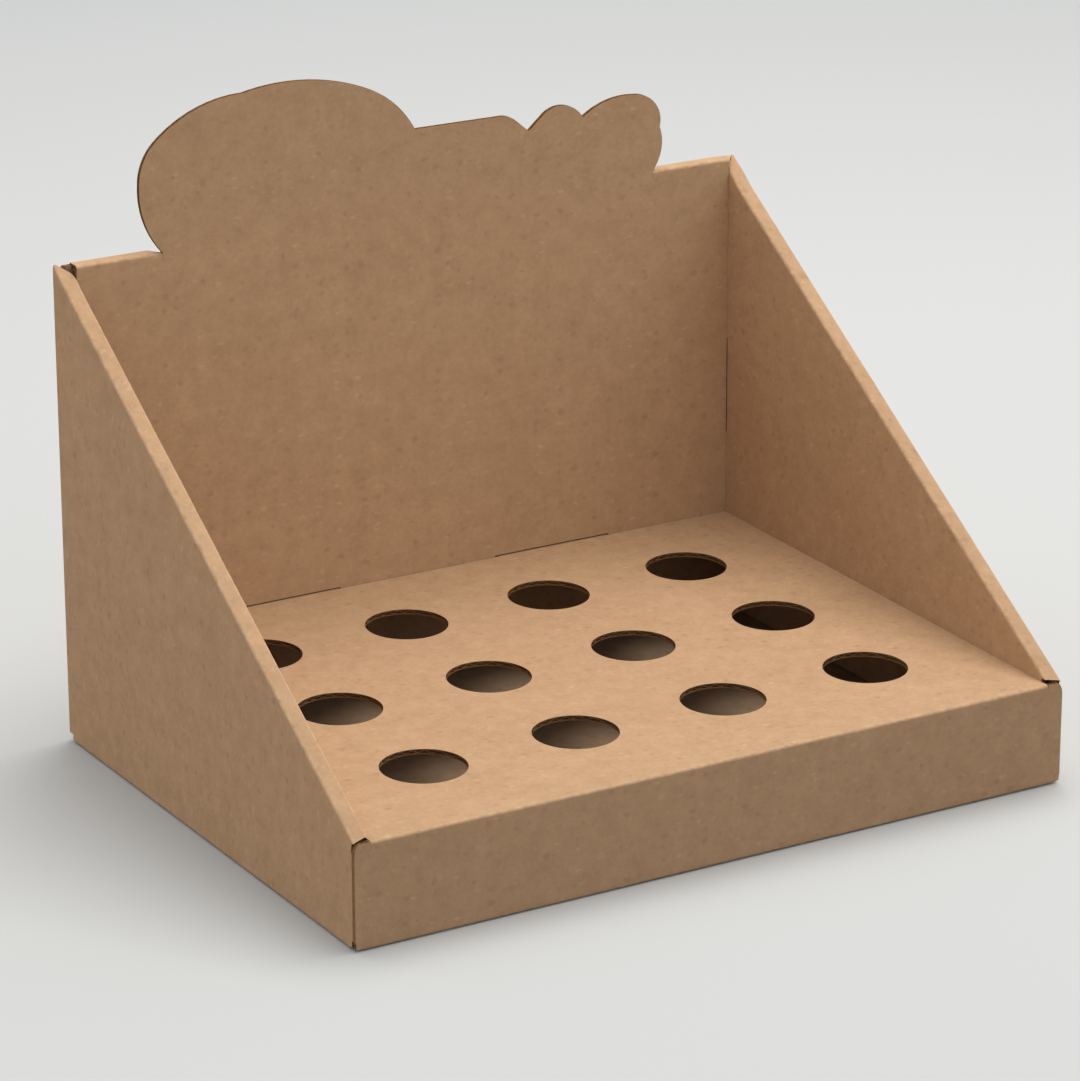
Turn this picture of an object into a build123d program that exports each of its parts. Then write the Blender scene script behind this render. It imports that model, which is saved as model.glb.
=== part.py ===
"""Counter display box folded from one die-cut sheet of E-flute board.

The base carries a front panel that turns back into a shelf with round product
holes, two sloping side walls that roll over to a second layer inside, and a
back wall that rolls over the same way and pops up a shaped header.
Millimetres, +Z up, origin at the middle of the base's underside, front at -Y.
"""
import os
from math import atan2, cos, hypot, sin, tan

from build123d import *

# Set-up size of the display
width = 238.0
depth = 182.0
back_height = 150.0
front_height = 32.0
shelf_rise = 1.3

# Board and the way it folds: a rounded outside, a tight crease inside
board = 1.6
fold_radius = 1.0
crease_radius = 0.3
fold_leg = 4.0
ply_gap = 0.2
edge_gap = 0.3
fit_gap = 0.15

# Product holes in the shelf
hole_diameter = 25.5
hole_columns = 4
hole_rows = 3
hole_side_margin = 38.65
hole_front_margin = 39.3
hole_rear_margin = 37.35

# Ears at both ends of the front panel
ear_drop = 0.6
ear_top_radius = 3.2
ear_bottom_radius = 1.0

# Sloping rolled edges: depth of their folded-down legs and shape of their ends
roll_leg = 2.5
roll_front_rise = 0.1
roll_front_overhang = 0.4
roll_front_skew = 1.3
roll_rear_radius = 5.0

# Flaps tucked between the layers of the walls
front_flap_length = 35.0
front_flap_drop = 1.3
corner_flap_length = 80.0
corner_flap_drop = 2.0
rear_flap_length = 40.0
rear_flap_drop = 14.0

# Locks: shelf tabs in the inner back panel, back tabs in the inner side panels
shelf_tab_width = 40.5
shelf_tab_centre = 48.6
slot_end_gap = 0.6
slot_headroom = 0.9
side_tab_bottom = 61.5
side_tab_height = 30.2
slit_foot_gap = 1.0
slit_front_gap = 0.5

# Header outline: points across the box and up from the back wall's top crease
header_left = -85.5
header_right = 85.5
cheek_middle = (-90.6, 8.6)
cheek_end = (-92.5, 21.3)
brow_end = (-86.6, 34.3)
crown_end = (-57.7, 45.1)
dome_middle = (-44.0, 46.6)
dome_end = (-15.3, 40.9)
shoulder_middle = (-6.5, 35.3)
ledge_start = (0.6, 26.2)
ledge_end = (30.0, 26.0)
nose_middle = (33.5, 25.5)
nose_end = (36.2, 23.8)
dip_end = (40.6, 19.8)
flank_end = (45.2, 23.9)
knob_middle = (51.2, 26.6)
knob_end = (60.0, 21.6)
rise_middle = (67.4, 25.5)
rise_end = (78.5, 26.6)
tip_end = (87.9, 14.6)
jowl_middle = (88.8, 8.6)

# Faces and layers that follow from the sizes above
ply = board + ply_gap
wall = 3 * board + 2 * ply_gap
side_x = width / 2
front_y = -depth / 2
rear_y = depth / 2
inner_side_x = side_x - wall
inner_back_y = rear_y - wall
core_x = inner_side_x - fit_gap
panel_foot = board + edge_gap
cut_through = board + crease_radius
cut_depth = fold_leg + fold_radius

# The shelf, from the fold on the front panel to its free rear edge
shelf_rear_y = inner_back_y - fit_gap
shelf_rear_height = front_height + shelf_rise
front_fold_z = front_height - fold_radius
ear_top = front_height - ear_drop
shelf_under = front_height - board

# The grid of holes, spread over the shelf inside its margins
hole_first_y = front_y + hole_front_margin
hole_last_y = shelf_rear_y - hole_rear_margin
hole_column_pitch = 2 * (core_x - hole_side_margin) / (hole_columns - 1)
hole_row_pitch = (hole_last_y - hole_first_y) / (hole_rows - 1)

# The sloping line along the top of the side walls
slope_fall = back_height - front_height - roll_front_rise
slope_angle = atan2(slope_fall, depth)
slope_length = hypot(depth, slope_fall)
side_front_y = front_y + board + edge_gap


def slope_height(y: float, drop: float = 0.0) -> float:
    """Height at y of a line parallel to the rolled edge, drop below it."""
    return back_height - (rear_y - y) * tan(slope_angle) - drop / cos(slope_angle)


def folded_board(plane: Plane, outside: list, length: float, both: bool = False) -> Part:
    """Board creased along the outside path, its layer to the left, pulled along the plane."""
    with BuildPart() as strip:
        with BuildSketch(plane) as section:
            with BuildLine():
                Polyline(*outside)
                offset(amount=board, side=Side.LEFT, kind=Kind.INTERSECTION)
            make_face()
            for corner in outside[1:-1]:
                fillet(section.vertices().sort_by_distance(corner)[1], radius=crease_radius)
                fillet(section.vertices().sort_by_distance(corner)[0], radius=fold_radius)
        extrude(amount=length, both=both)
    return strip.part


def header_die_line(plane: Plane, kerf: float = 0.0) -> Sketch:
    """Header outline above the back wall's top crease, cut kerf wide of the line."""
    with BuildSketch(plane) as outline:
        with BuildLine():
            cheek = ThreePointArc((header_left, 0), cheek_middle, cheek_end)
            brow = TangentArc(cheek @ 1, brow_end, tangent=(0, 1))
            crown = TangentArc(brow @ 1, crown_end, tangent=brow % 1)
            dome = ThreePointArc(crown @ 1, dome_middle, dome_end)
            shoulder = ThreePointArc(dome @ 1, shoulder_middle, ledge_start)
            ledge = Line(shoulder @ 1, ledge_end)
            nose = ThreePointArc(ledge @ 1, nose_middle, nose_end)
            dip = Line(nose @ 1, dip_end)
            flank = Line(dip @ 1, flank_end)
            knob = ThreePointArc(flank @ 1, knob_middle, knob_end)
            rise = ThreePointArc(knob @ 1, rise_middle, rise_end)
            tip = TangentArc(rise @ 1, tip_end, tangent=(1, 0))
            jowl = ThreePointArc(tip @ 1, jowl_middle, (header_right, 0))
            Line(jowl @ 1, cheek @ 0)
        make_face()
        if kerf:
            offset(amount=kerf)
    return outline.sketch


# Base and front panel up to the shelf fold, one strip from front to back
front_and_base = folded_board(
    Plane.YZ,
    [(front_y, front_fold_z), (front_y, 0), (rear_y - fold_radius, 0)],
    side_x - fold_radius - edge_gap,
    both=True,
)

# Back end of the base, turned up into the outer back panel
back_panel_x = side_x - ply - fold_radius
outer_back = folded_board(
    Plane.YZ,
    [(rear_y - fold_leg, 0), (rear_y, 0), (rear_y, back_height - fold_radius)],
    back_panel_x,
    both=True,
)

# Front panel's top fold and the shelf that runs back from it
shelf_strip = folded_board(
    Plane.YZ,
    [(shelf_rear_y, shelf_rear_height), (front_y, front_height), (front_y, front_fold_z - fold_leg)],
    core_x,
    both=True,
)

# Rolled top of the back wall with the upper edge of the inner back panel
back_roll = folded_board(
    Plane.YZ,
    [
        (rear_y, back_height - fold_leg),
        (rear_y, back_height),
        (inner_back_y, back_height),
        (inner_back_y, back_height - fold_leg),
    ],
    core_x,
    both=True,
)

# Left side wall: fold on the base, outer panel, roll, inner panel and flaps
base_fold = folded_board(
    Plane.XZ.offset(fold_radius - rear_y),
    [(-side_x, fold_leg), (-side_x, 0), (-side_x + fold_leg, 0)],
    rear_y - 2 * fold_radius - side_front_y,
)

front_flap_top = shelf_under - front_flap_drop
front_flap = folded_board(
    Plane.XY.offset(panel_foot),
    [
        (-side_x, side_front_y + fold_leg),
        (-side_x, side_front_y),
        (-side_x + front_flap_length, side_front_y),
    ],
    front_flap_top - panel_foot,
)

corner_flap_x = side_x - ply
corner_flap = folded_board(
    Plane.XY.offset(panel_foot),
    [
        (-back_panel_x + fold_leg, rear_y),
        (-corner_flap_x, rear_y),
        (-corner_flap_x, rear_y - corner_flap_length),
    ],
    back_height - panel_foot,
)

inner_panel_x = corner_flap_x - ply
rear_flap_y = rear_y - ply
rear_flap = folded_board(
    Plane.XY.offset(panel_foot),
    [
        (-inner_panel_x + rear_flap_length, rear_flap_y),
        (-inner_panel_x, rear_flap_y),
        (-inner_panel_x, rear_flap_y - fold_leg),
    ],
    back_height - rear_flap_drop - panel_foot,
)

# Section of the roll, seen along the slope with its outer face uppermost
slope_section = Plane(
    origin=(0, rear_y, back_height),
    x_dir=(1, 0, 0),
    z_dir=(0, -cos(slope_angle), -sin(slope_angle)),
)
roll = folded_board(
    slope_section,
    [(-inner_side_x, -roll_leg), (-inner_side_x, 0), (-side_x, 0), (-side_x, -roll_leg)],
    slope_length,
)

# The roll seen square on, with its rear end at the origin and Y up the slope
slope_face = Plane(
    origin=(0, rear_y, back_height),
    x_dir=(1, 0, 0),
    z_dir=(0, -sin(slope_angle), cos(slope_angle)),
)
roll_front_end = -slope_length + roll_front_overhang / cos(slope_angle)
roll_front_back = roll_front_end + roll_front_skew / cos(slope_angle)

with BuildPart() as left_roll:
    add(roll)
    # Inner rear corner of the roll, rounded off almost to the outer panel
    with BuildSketch(slope_face):
        with Locations((-inner_side_x - roll_rear_radius, -roll_rear_radius)):
            Rectangle(2 * roll_rear_radius, 2 * roll_rear_radius, align=(Align.MIN, Align.MIN))
            Circle(roll_rear_radius, mode=Mode.SUBTRACT)
    extrude(amount=-cut_depth, mode=Mode.SUBTRACT)
    # Front end, cut back towards the inside of the wall
    with BuildSketch(slope_face):
        with BuildLine():
            Polyline(
                (-side_x, roll_front_end),
                (-inner_side_x, roll_front_back),
                (-inner_side_x, -slope_length - fold_leg),
                (-side_x, -slope_length - fold_leg),
                close=True,
            )
        make_face()
    extrude(amount=-cut_depth, mode=Mode.SUBTRACT)
    # Rear end, flush with the back wall
    split(bisect_by=Plane.XZ.offset(-rear_y), keep=Keep.TOP)

with BuildPart() as left_corner_flap:
    add(corner_flap)
    split(bisect_by=slope_face.offset(-corner_flap_drop), keep=Keep.BOTTOM)

with BuildPart() as left_wall:
    # Outer panel, stepped at its front edge to let the front flap turn in
    with BuildSketch(Plane.YZ.offset(-side_x)):
        with BuildLine():
            Polyline(
                (side_front_y + fold_radius, panel_foot),
                (rear_y, panel_foot),
                (rear_y, slope_height(rear_y, fold_radius)),
                (side_front_y, slope_height(side_front_y, fold_radius)),
                (side_front_y, front_flap_top + edge_gap),
                (side_front_y + fold_radius, front_flap_top + edge_gap),
                close=True,
            )
        make_face()
    extrude(amount=board)
    # Inner panel, from behind the front flap to the fold of the rear flap
    inner_front_y = side_front_y + ply
    inner_rear_y = rear_flap_y - fold_radius
    with BuildSketch(Plane.YZ.offset(-inner_panel_x)):
        with BuildLine():
            Polyline(
                (inner_front_y, panel_foot),
                (inner_rear_y, panel_foot),
                (inner_rear_y, slope_height(inner_rear_y, fold_radius)),
                (inner_front_y, slope_height(inner_front_y, fold_radius)),
                close=True,
            )
        make_face()
    extrude(amount=board)
    add(left_roll.part)
    add(base_fold)
    add(front_flap)
    add(left_corner_flap.part)
    add(rear_flap)
    # Room for the ear of the front panel under the roll's front end
    with BuildSketch(Plane.XY):
        with Locations((-side_x, front_y)):
            Rectangle(wall, side_front_y - front_y, align=(Align.MIN, Align.MIN))
    extrude(amount=ear_top + edge_gap, mode=Mode.SUBTRACT)
    # Slit in the inner panel for the side tab of the inner back panel
    with BuildSketch(Plane.YZ.offset(-inner_panel_x)):
        with Locations((inner_back_y - slit_front_gap, side_tab_bottom - slit_foot_gap)):
            Rectangle(
                slit_front_gap + board + ply_gap,
                side_tab_height + slit_foot_gap + edge_gap,
                align=(Align.MIN, Align.MIN),
            )
    extrude(amount=board, mode=Mode.SUBTRACT)

with BuildPart() as front_to_back:
    add(outer_back)
    add(back_roll)
    # The header's die line opens the rolled strip and the outer back panel
    strip_plane = Plane(origin=(0, inner_back_y, back_height), x_dir=(1, 0, 0), z_dir=(0, 0, 1))
    extrude(header_die_line(strip_plane, edge_gap), amount=-cut_through, mode=Mode.SUBTRACT)
    window_plane = Plane(origin=(0, rear_y, back_height + wall), x_dir=(1, 0, 0), z_dir=(0, 1, 0))
    extrude(header_die_line(window_plane, edge_gap), amount=-cut_through, mode=Mode.SUBTRACT)
    # Inner back panel with its two side tabs and the header above it
    inner_back_plane = Plane.XZ.offset(-inner_back_y)
    panel_top = back_height - fold_radius
    with BuildSketch(inner_back_plane):
        with Locations((0, panel_foot)):
            Rectangle(2 * core_x, panel_top - panel_foot, align=(Align.CENTER, Align.MIN))
        with Locations((0, side_tab_bottom)):
            Rectangle(2 * inner_panel_x, side_tab_height, align=(Align.CENTER, Align.MIN))
        with Locations((header_left, panel_top)):
            Rectangle(header_right - header_left, fold_radius, align=(Align.MIN, Align.MIN))
    extrude(amount=-board)
    header_plane = Plane(origin=(0, inner_back_y, back_height), x_dir=(1, 0, 0), z_dir=(0, -1, 0))
    extrude(header_die_line(header_plane), amount=-board)
    # Slots in the inner back panel for the shelf's tabs
    slot_height = board + edge_gap + slot_headroom
    with BuildSketch(inner_back_plane):
        with Locations((0, shelf_rear_height + slot_headroom)):
            with GridLocations(2 * shelf_tab_centre, 0, 2, 1):
                Rectangle(
                    shelf_tab_width + 2 * slot_end_gap,
                    slot_height,
                    align=(Align.CENTER, Align.MAX),
                )
    extrude(amount=-board, mode=Mode.SUBTRACT)
    add(front_and_base)
    add(shelf_strip)
    # Shelf tabs, level with the shelf's rear edge
    with BuildSketch(Plane.XY.offset(shelf_rear_height)):
        with Locations((0, shelf_rear_y - board)):
            with GridLocations(2 * shelf_tab_centre, 0, 2, 1):
                Rectangle(
                    shelf_tab_width,
                    rear_y - edge_gap - shelf_rear_y,
                    align=(Align.CENTER, Align.MIN),
                )
    extrude(amount=-board)
    # Product holes
    with BuildSketch(Plane.XY.offset(shelf_rear_height)):
        with Locations((0, (hole_first_y + hole_last_y) / 2)):
            with GridLocations(hole_column_pitch, hole_row_pitch, hole_columns, hole_rows):
                Circle(hole_diameter / 2)
    extrude(amount=-shelf_rise - cut_depth, mode=Mode.SUBTRACT)

# Left ear of the front panel, standing proud of the shelf fold
with BuildPart() as left_ear:
    with BuildSketch(Plane.XZ.offset(-front_y)) as ear:
        with Locations((-side_x, edge_gap)):
            Rectangle(wall, ear_top - edge_gap, align=(Align.MIN, Align.MIN))
        fillet(ear.vertices().sort_by_distance((-side_x, edge_gap))[0], radius=ear_bottom_radius)
        fillet(ear.vertices().sort_by_distance((-side_x, ear_top))[0], radius=ear_top_radius)
    extrude(amount=-board)

with BuildPart() as display_box:
    add(left_wall.part)
    add(left_ear.part)
    mirror(about=Plane.YZ)
    add(front_to_back.part)

display_box.part.label = "display_box"

os.makedirs("parts", exist_ok=True)
export_step(display_box.part, "parts/display_box.step")
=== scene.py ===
"""Counter display box of corrugated kraft board, dressed for the photograph's view.

The box is one die-cut blank. It is laid out here panel by panel, in millimetres, and folded up
into one closed sheet, with the flutes showing wherever the die has cut through the board.
"""
import logging
import math
from dataclasses import dataclass, field
from enum import Enum
from functools import partial
from itertools import product
from typing import Callable

import bpy
import numpy as np
from mathutils import Matrix, Vector, noise
from mathutils.geometry import delaunay_2d_cdt


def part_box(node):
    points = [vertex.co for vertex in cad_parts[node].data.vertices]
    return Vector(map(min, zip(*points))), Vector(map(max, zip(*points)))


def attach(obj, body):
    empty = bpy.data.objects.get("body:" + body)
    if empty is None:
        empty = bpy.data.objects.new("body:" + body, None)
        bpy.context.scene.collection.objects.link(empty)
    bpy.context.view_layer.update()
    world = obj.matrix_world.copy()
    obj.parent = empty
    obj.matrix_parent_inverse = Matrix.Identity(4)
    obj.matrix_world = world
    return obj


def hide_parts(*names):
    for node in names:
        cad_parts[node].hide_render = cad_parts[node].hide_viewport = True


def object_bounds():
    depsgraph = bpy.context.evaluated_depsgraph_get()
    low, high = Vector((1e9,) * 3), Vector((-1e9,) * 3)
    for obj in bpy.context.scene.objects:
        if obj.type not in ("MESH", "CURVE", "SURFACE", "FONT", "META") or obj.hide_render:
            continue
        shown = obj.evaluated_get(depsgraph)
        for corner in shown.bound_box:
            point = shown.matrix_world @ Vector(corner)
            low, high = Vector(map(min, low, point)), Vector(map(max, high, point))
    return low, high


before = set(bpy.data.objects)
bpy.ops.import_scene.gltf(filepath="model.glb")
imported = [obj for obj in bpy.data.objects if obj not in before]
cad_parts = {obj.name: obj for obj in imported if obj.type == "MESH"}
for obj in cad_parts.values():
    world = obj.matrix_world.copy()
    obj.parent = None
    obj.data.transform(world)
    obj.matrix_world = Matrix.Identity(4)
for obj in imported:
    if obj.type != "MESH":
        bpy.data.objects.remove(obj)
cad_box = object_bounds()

log = logging.getLogger("display_box")

MM = 0.001
TINY = 1e-6
ARC_STEPS = 3
NODE = "display_box"
X_AXIS = Vector((1.0, 0.0, 0.0))
Y_AXIS = Vector((0.0, 1.0, 0.0))
Z_AXIS = Vector((0.0, 0.0, 1.0))

Flat = tuple[float, float]
Place = tuple[float, float, float]
Colour = tuple[float, float, float]
Unfold = Callable[[float, float], Flat]
Along = Callable[[float], float]
Socket = bpy.types.NodeSocket


def clamped(share: float) -> float:
    """Share kept between 0 and 1."""
    return min(1.0, max(0.0, share))


def blend(first: float, second: float, share: float) -> float:
    """Value at a share of the way from the first one to the second."""
    return first + (second - first) * share


def eased(value: float, low: float, high: float) -> float:
    """Smooth step from 0 at the low value to 1 at the high one."""
    share = clamped((value - low) / (high - low))
    return share * share * (3 - 2 * share)


def level(value: float) -> Along:
    """Row end that is the same all over a bend."""
    return lambda reach: value


class Edge(Enum):
    """What a stretch of die line is; the value is the step it is sampled at, in mm."""

    FOLD = 2.5
    FLUTED = 0.5
    ROUND = 0.4
    PLAIN = 4.0


class Hand(Enum):
    """Side of the box, as the sign of its x."""

    LEFT = -1.0
    RIGHT = 1.0


class Face(Enum):
    """Surface a mesh face belongs to; the value is its material slot."""

    OUTER = 0
    INNER = 1
    CUT = 2


@dataclass(frozen=True)
class Board:
    """Corrugated board: two liners with a wavy medium between them (mm)."""

    thickness: float = 1.6
    liner: float = 0.25
    medium: float = 0.2
    pitch: float = 3.4
    recess: float = 1.3
    fold_radius: float = 1.0
    crease_radius: float = 0.3
    fold_steps: int = 6
    crush: float = 0.05
    crush_scale: Flat = (0.21, 0.35)
    medium_room: float = 0.6

    def section(self, flute: float) -> list[tuple[float, float]]:
        """Section of a cut edge.

        Args:
            flute: Place across the flutes, in mm of the flat blank.

        Returns:
            Depth through the board and share of the recess, from the outer liner to the inner one.
        """
        swing = self.thickness / 2 - self.liner - self.medium_room * self.medium
        middle = self.thickness / 2 + swing * math.sin(2 * math.pi * flute / self.pitch)
        near = middle - self.medium / 2
        far = middle + self.medium / 2
        under = self.thickness - self.liner
        return [
            (0.0, 0.0),
            (self.liner, 0.0),
            (self.liner, 1.0),
            (near, 1.0),
            (near, 0.0),
            (far, 0.0),
            (far, 1.0),
            (under, 1.0),
            (under, 0.0),
            (self.thickness, 0.0),
        ]


@dataclass(frozen=True)
class Column:
    """One line through the board on a cut edge."""

    top: Vector
    bottom: Vector
    inward: Vector
    blank: Flat
    opening: float


class Sheet:
    """Mesh of the folded blank, welded as its panels and bends are added."""

    CELL = 0.002
    BORDER = 0.02

    def __init__(self, board: Board) -> None:
        """Starts an empty sheet of this board.

        Args:
            board: Board that it is made of.
        """
        self.board = board
        self.points: list[Vector] = []
        self.blank: list[Flat] = []
        self.crest_weight: list[float] = []
        self.faces: list[tuple[int, ...]] = []
        self.kinds: list[Face] = []
        self._known: dict[tuple[int, ...], int] = {}

    def cells(self, value: float) -> tuple[int, ...]:
        """Cells of the welding grid that a coordinate may lie in, its own one first.

        Args:
            value: Coordinate of a point.

        Returns:
            Numbers of the cells, two of them close to a border.
        """
        cell = math.floor(value / self.CELL)
        part = value / self.CELL - cell
        if part < self.BORDER:
            return cell, cell - 1
        if part > 1 - self.BORDER:
            return cell, cell + 1
        return (cell,)

    def point(self, place: Vector, blank: Flat, crest_weight: float = 0.0) -> int:
        """Vertex at a place, shared with whatever already has one there.

        Args:
            place: Place on the folded box.
            blank: Place on the flat blank.
            crest_weight: How far the board is creased here, 0 to 1; it scales the crush and the
                lighter crease tone, which is partly rubbed wear and partly painted highlight.

        Returns:
            The vertex's number.
        """
        keys = list(product(*(self.cells(value) for value in place)))
        for key in keys:
            if key in self._known:
                return self._known[key]
        self._known[keys[0]] = len(self.points)
        self.points.append(place.copy())
        self.blank.append(blank)
        self.crest_weight.append(crest_weight)
        return len(self.points) - 1

    def face(self, corners: list[int], kind: Face) -> None:
        """Adds a face, leaving out corners that fall together.

        Args:
            corners: Vertex numbers, anticlockwise from outside.
            kind: Surface the face belongs to.
        """
        ring = [corner for k, corner in enumerate(corners) if corner != corners[k - 1]]
        if len(set(ring)) > 2:
            self.faces.append(tuple(ring))
            self.kinds.append(kind)

    def wall(self, columns: list[Column]) -> None:
        """Closes a cut edge between the liners, with the flutes where its columns are open.

        Args:
            columns: Lines through the board, in order along the edge.
        """
        thickness = self.board.thickness
        strips = []
        for column in columns:
            depth = self.board.recess * column.opening
            strips.append([
                self.point(
                    column.top.lerp(column.bottom, t / thickness) + column.inward * (depth * share),
                    column.blank,
                )
                for t, share in self.board.section(column.blank[0])
            ])
        for here, there, near, far in zip(columns, columns[1:], strips, strips[1:]):
            step = there.top - here.top
            outwards = step.cross(here.bottom - here.top).dot(here.inward) < 0
            for row in range(len(near) - 1):
                quad = [near[row], far[row], far[row + 1], near[row + 1]]
                self.face(quad if outwards else quad[::-1], Face.CUT)


class Outline:
    """Closed die line of a panel, with the board on its left."""

    SHARP = math.radians(40.0)
    EASE = 2.6

    def __init__(self, x: float, y: float) -> None:
        """Starts the line at a point."""
        self.points: list[Vector] = [Vector((x, y))]
        self.kinds: list[Edge] = []

    def line(self, x: float, y: float, kind: Edge, count: int = 0) -> "Outline":
        """Runs straight to a point.

        Args:
            x: First coordinate of the end.
            y: Second coordinate of the end.
            kind: What this stretch is.
            count: Number of steps, or 0 to take the kind's own step.

        Returns:
            The outline itself.
        """
        begin = self.points[-1]
        end = Vector((x, y))
        steps = count or max(1, round((end - begin).length / kind.value))
        return self.through([begin.lerp(end, k / steps) for k in range(1, steps + 1)], kind)

    def quarter(self, x: float, y: float, kind: Edge) -> "Outline":
        """Runs a quarter of an ellipse to a point, leaving in the second coordinate's direction.

        Args:
            x: First coordinate of the end.
            y: Second coordinate of the end.
            kind: What this stretch is.

        Returns:
            The outline itself.
        """
        begin = self.points[-1]
        wide, high = begin.x - x, y - begin.y
        steps = round(math.pi / 2 * math.hypot(wide, high) / math.sqrt(2) / kind.value)
        turns = [math.pi / 2 * k / steps for k in range(1, steps + 1)]
        spots = [Vector((x + wide * math.cos(a), begin.y + high * math.sin(a))) for a in turns]
        return self.through(spots, kind)

    def through(self, spots: list[Vector], kind: Edge) -> "Outline":
        """Runs through points that are already sampled.

        Args:
            spots: Points, in order along the line.
            kind: What this stretch is.

        Returns:
            The outline itself.
        """
        self.points.extend(spots)
        self.kinds.extend([kind] * len(spots))
        return self

    def closed(self) -> "Outline":
        """Drops the last point, which repeats the first."""
        self.points.pop()
        return self

    @classmethod
    def circle(cls, x: float, y: float, radius: float, kind: Edge) -> "Outline":
        """Round hole, clockwise, so that the board is on its left.

        Args:
            x: First coordinate of the middle.
            y: Second coordinate of the middle.
            radius: Radius of the hole.
            kind: What the rim is.

        Returns:
            The outline.
        """
        steps = round(2 * math.pi * radius / kind.value)
        turns = [-2 * math.pi * k / steps for k in range(1, steps + 1)]
        spots = [Vector((x + radius * math.cos(a), y + radius * math.sin(a))) for a in turns]
        return cls(x + radius, y).through(spots, kind).closed()

    @classmethod
    def slot(cls, low: Flat, high: Flat, kind: Edge) -> "Outline":
        """Rectangular hole between two corners, clockwise.

        Args:
            low: Corner with the smallest coordinates.
            high: Corner with the largest coordinates.
            kind: What the rim is.

        Returns:
            The outline.
        """
        hole = cls(*low)
        hole.line(low[0], high[1], kind).line(high[0], high[1], kind)
        return hole.line(high[0], low[1], kind).line(low[0], low[1], kind).closed()

    def inward(self, k: int) -> Vector:
        """Unit vector into the board at a point.

        Args:
            k: Number of the point.

        Returns:
            The direction, square to the line.
        """
        count = len(self.points)
        before = (self.points[k] - self.points[k - 1]).normalized()
        after = (self.points[(k + 1) % count] - self.points[k]).normalized()
        way = before + after
        if way.length < TINY:
            way = after
        return Vector((-way.y, way.x)).normalized()

    def ends(self, k: int) -> bool:
        """Whether the open flutes stop at a point: at a corner or where another stretch begins.

        Args:
            k: Number of the point.

        Returns:
            True where they stop.
        """
        if self.kinds[k - 1] is not Edge.FLUTED or self.kinds[k] is not Edge.FLUTED:
            return True
        before = self.points[k] - self.points[k - 1]
        after = self.points[(k + 1) % len(self.points)] - self.points[k]
        return before.angle(after) > self.SHARP

    def opening(self, k: int) -> float:
        """How far the flutes are open at a point, less and less towards a corner.

        Args:
            k: Number of the point.

        Returns:
            1 where the flutes are fully open, 0 where they stop.
        """
        count = len(self.points)
        nearest = self.EASE
        for way in (-1, 1):
            gone, at = 0.0, k
            while gone < nearest and not self.ends(at):
                step = (at + way) % count
                gone += (self.points[step] - self.points[at]).length
                at = step
            nearest = min(nearest, gone)
        return nearest / self.EASE


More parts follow.
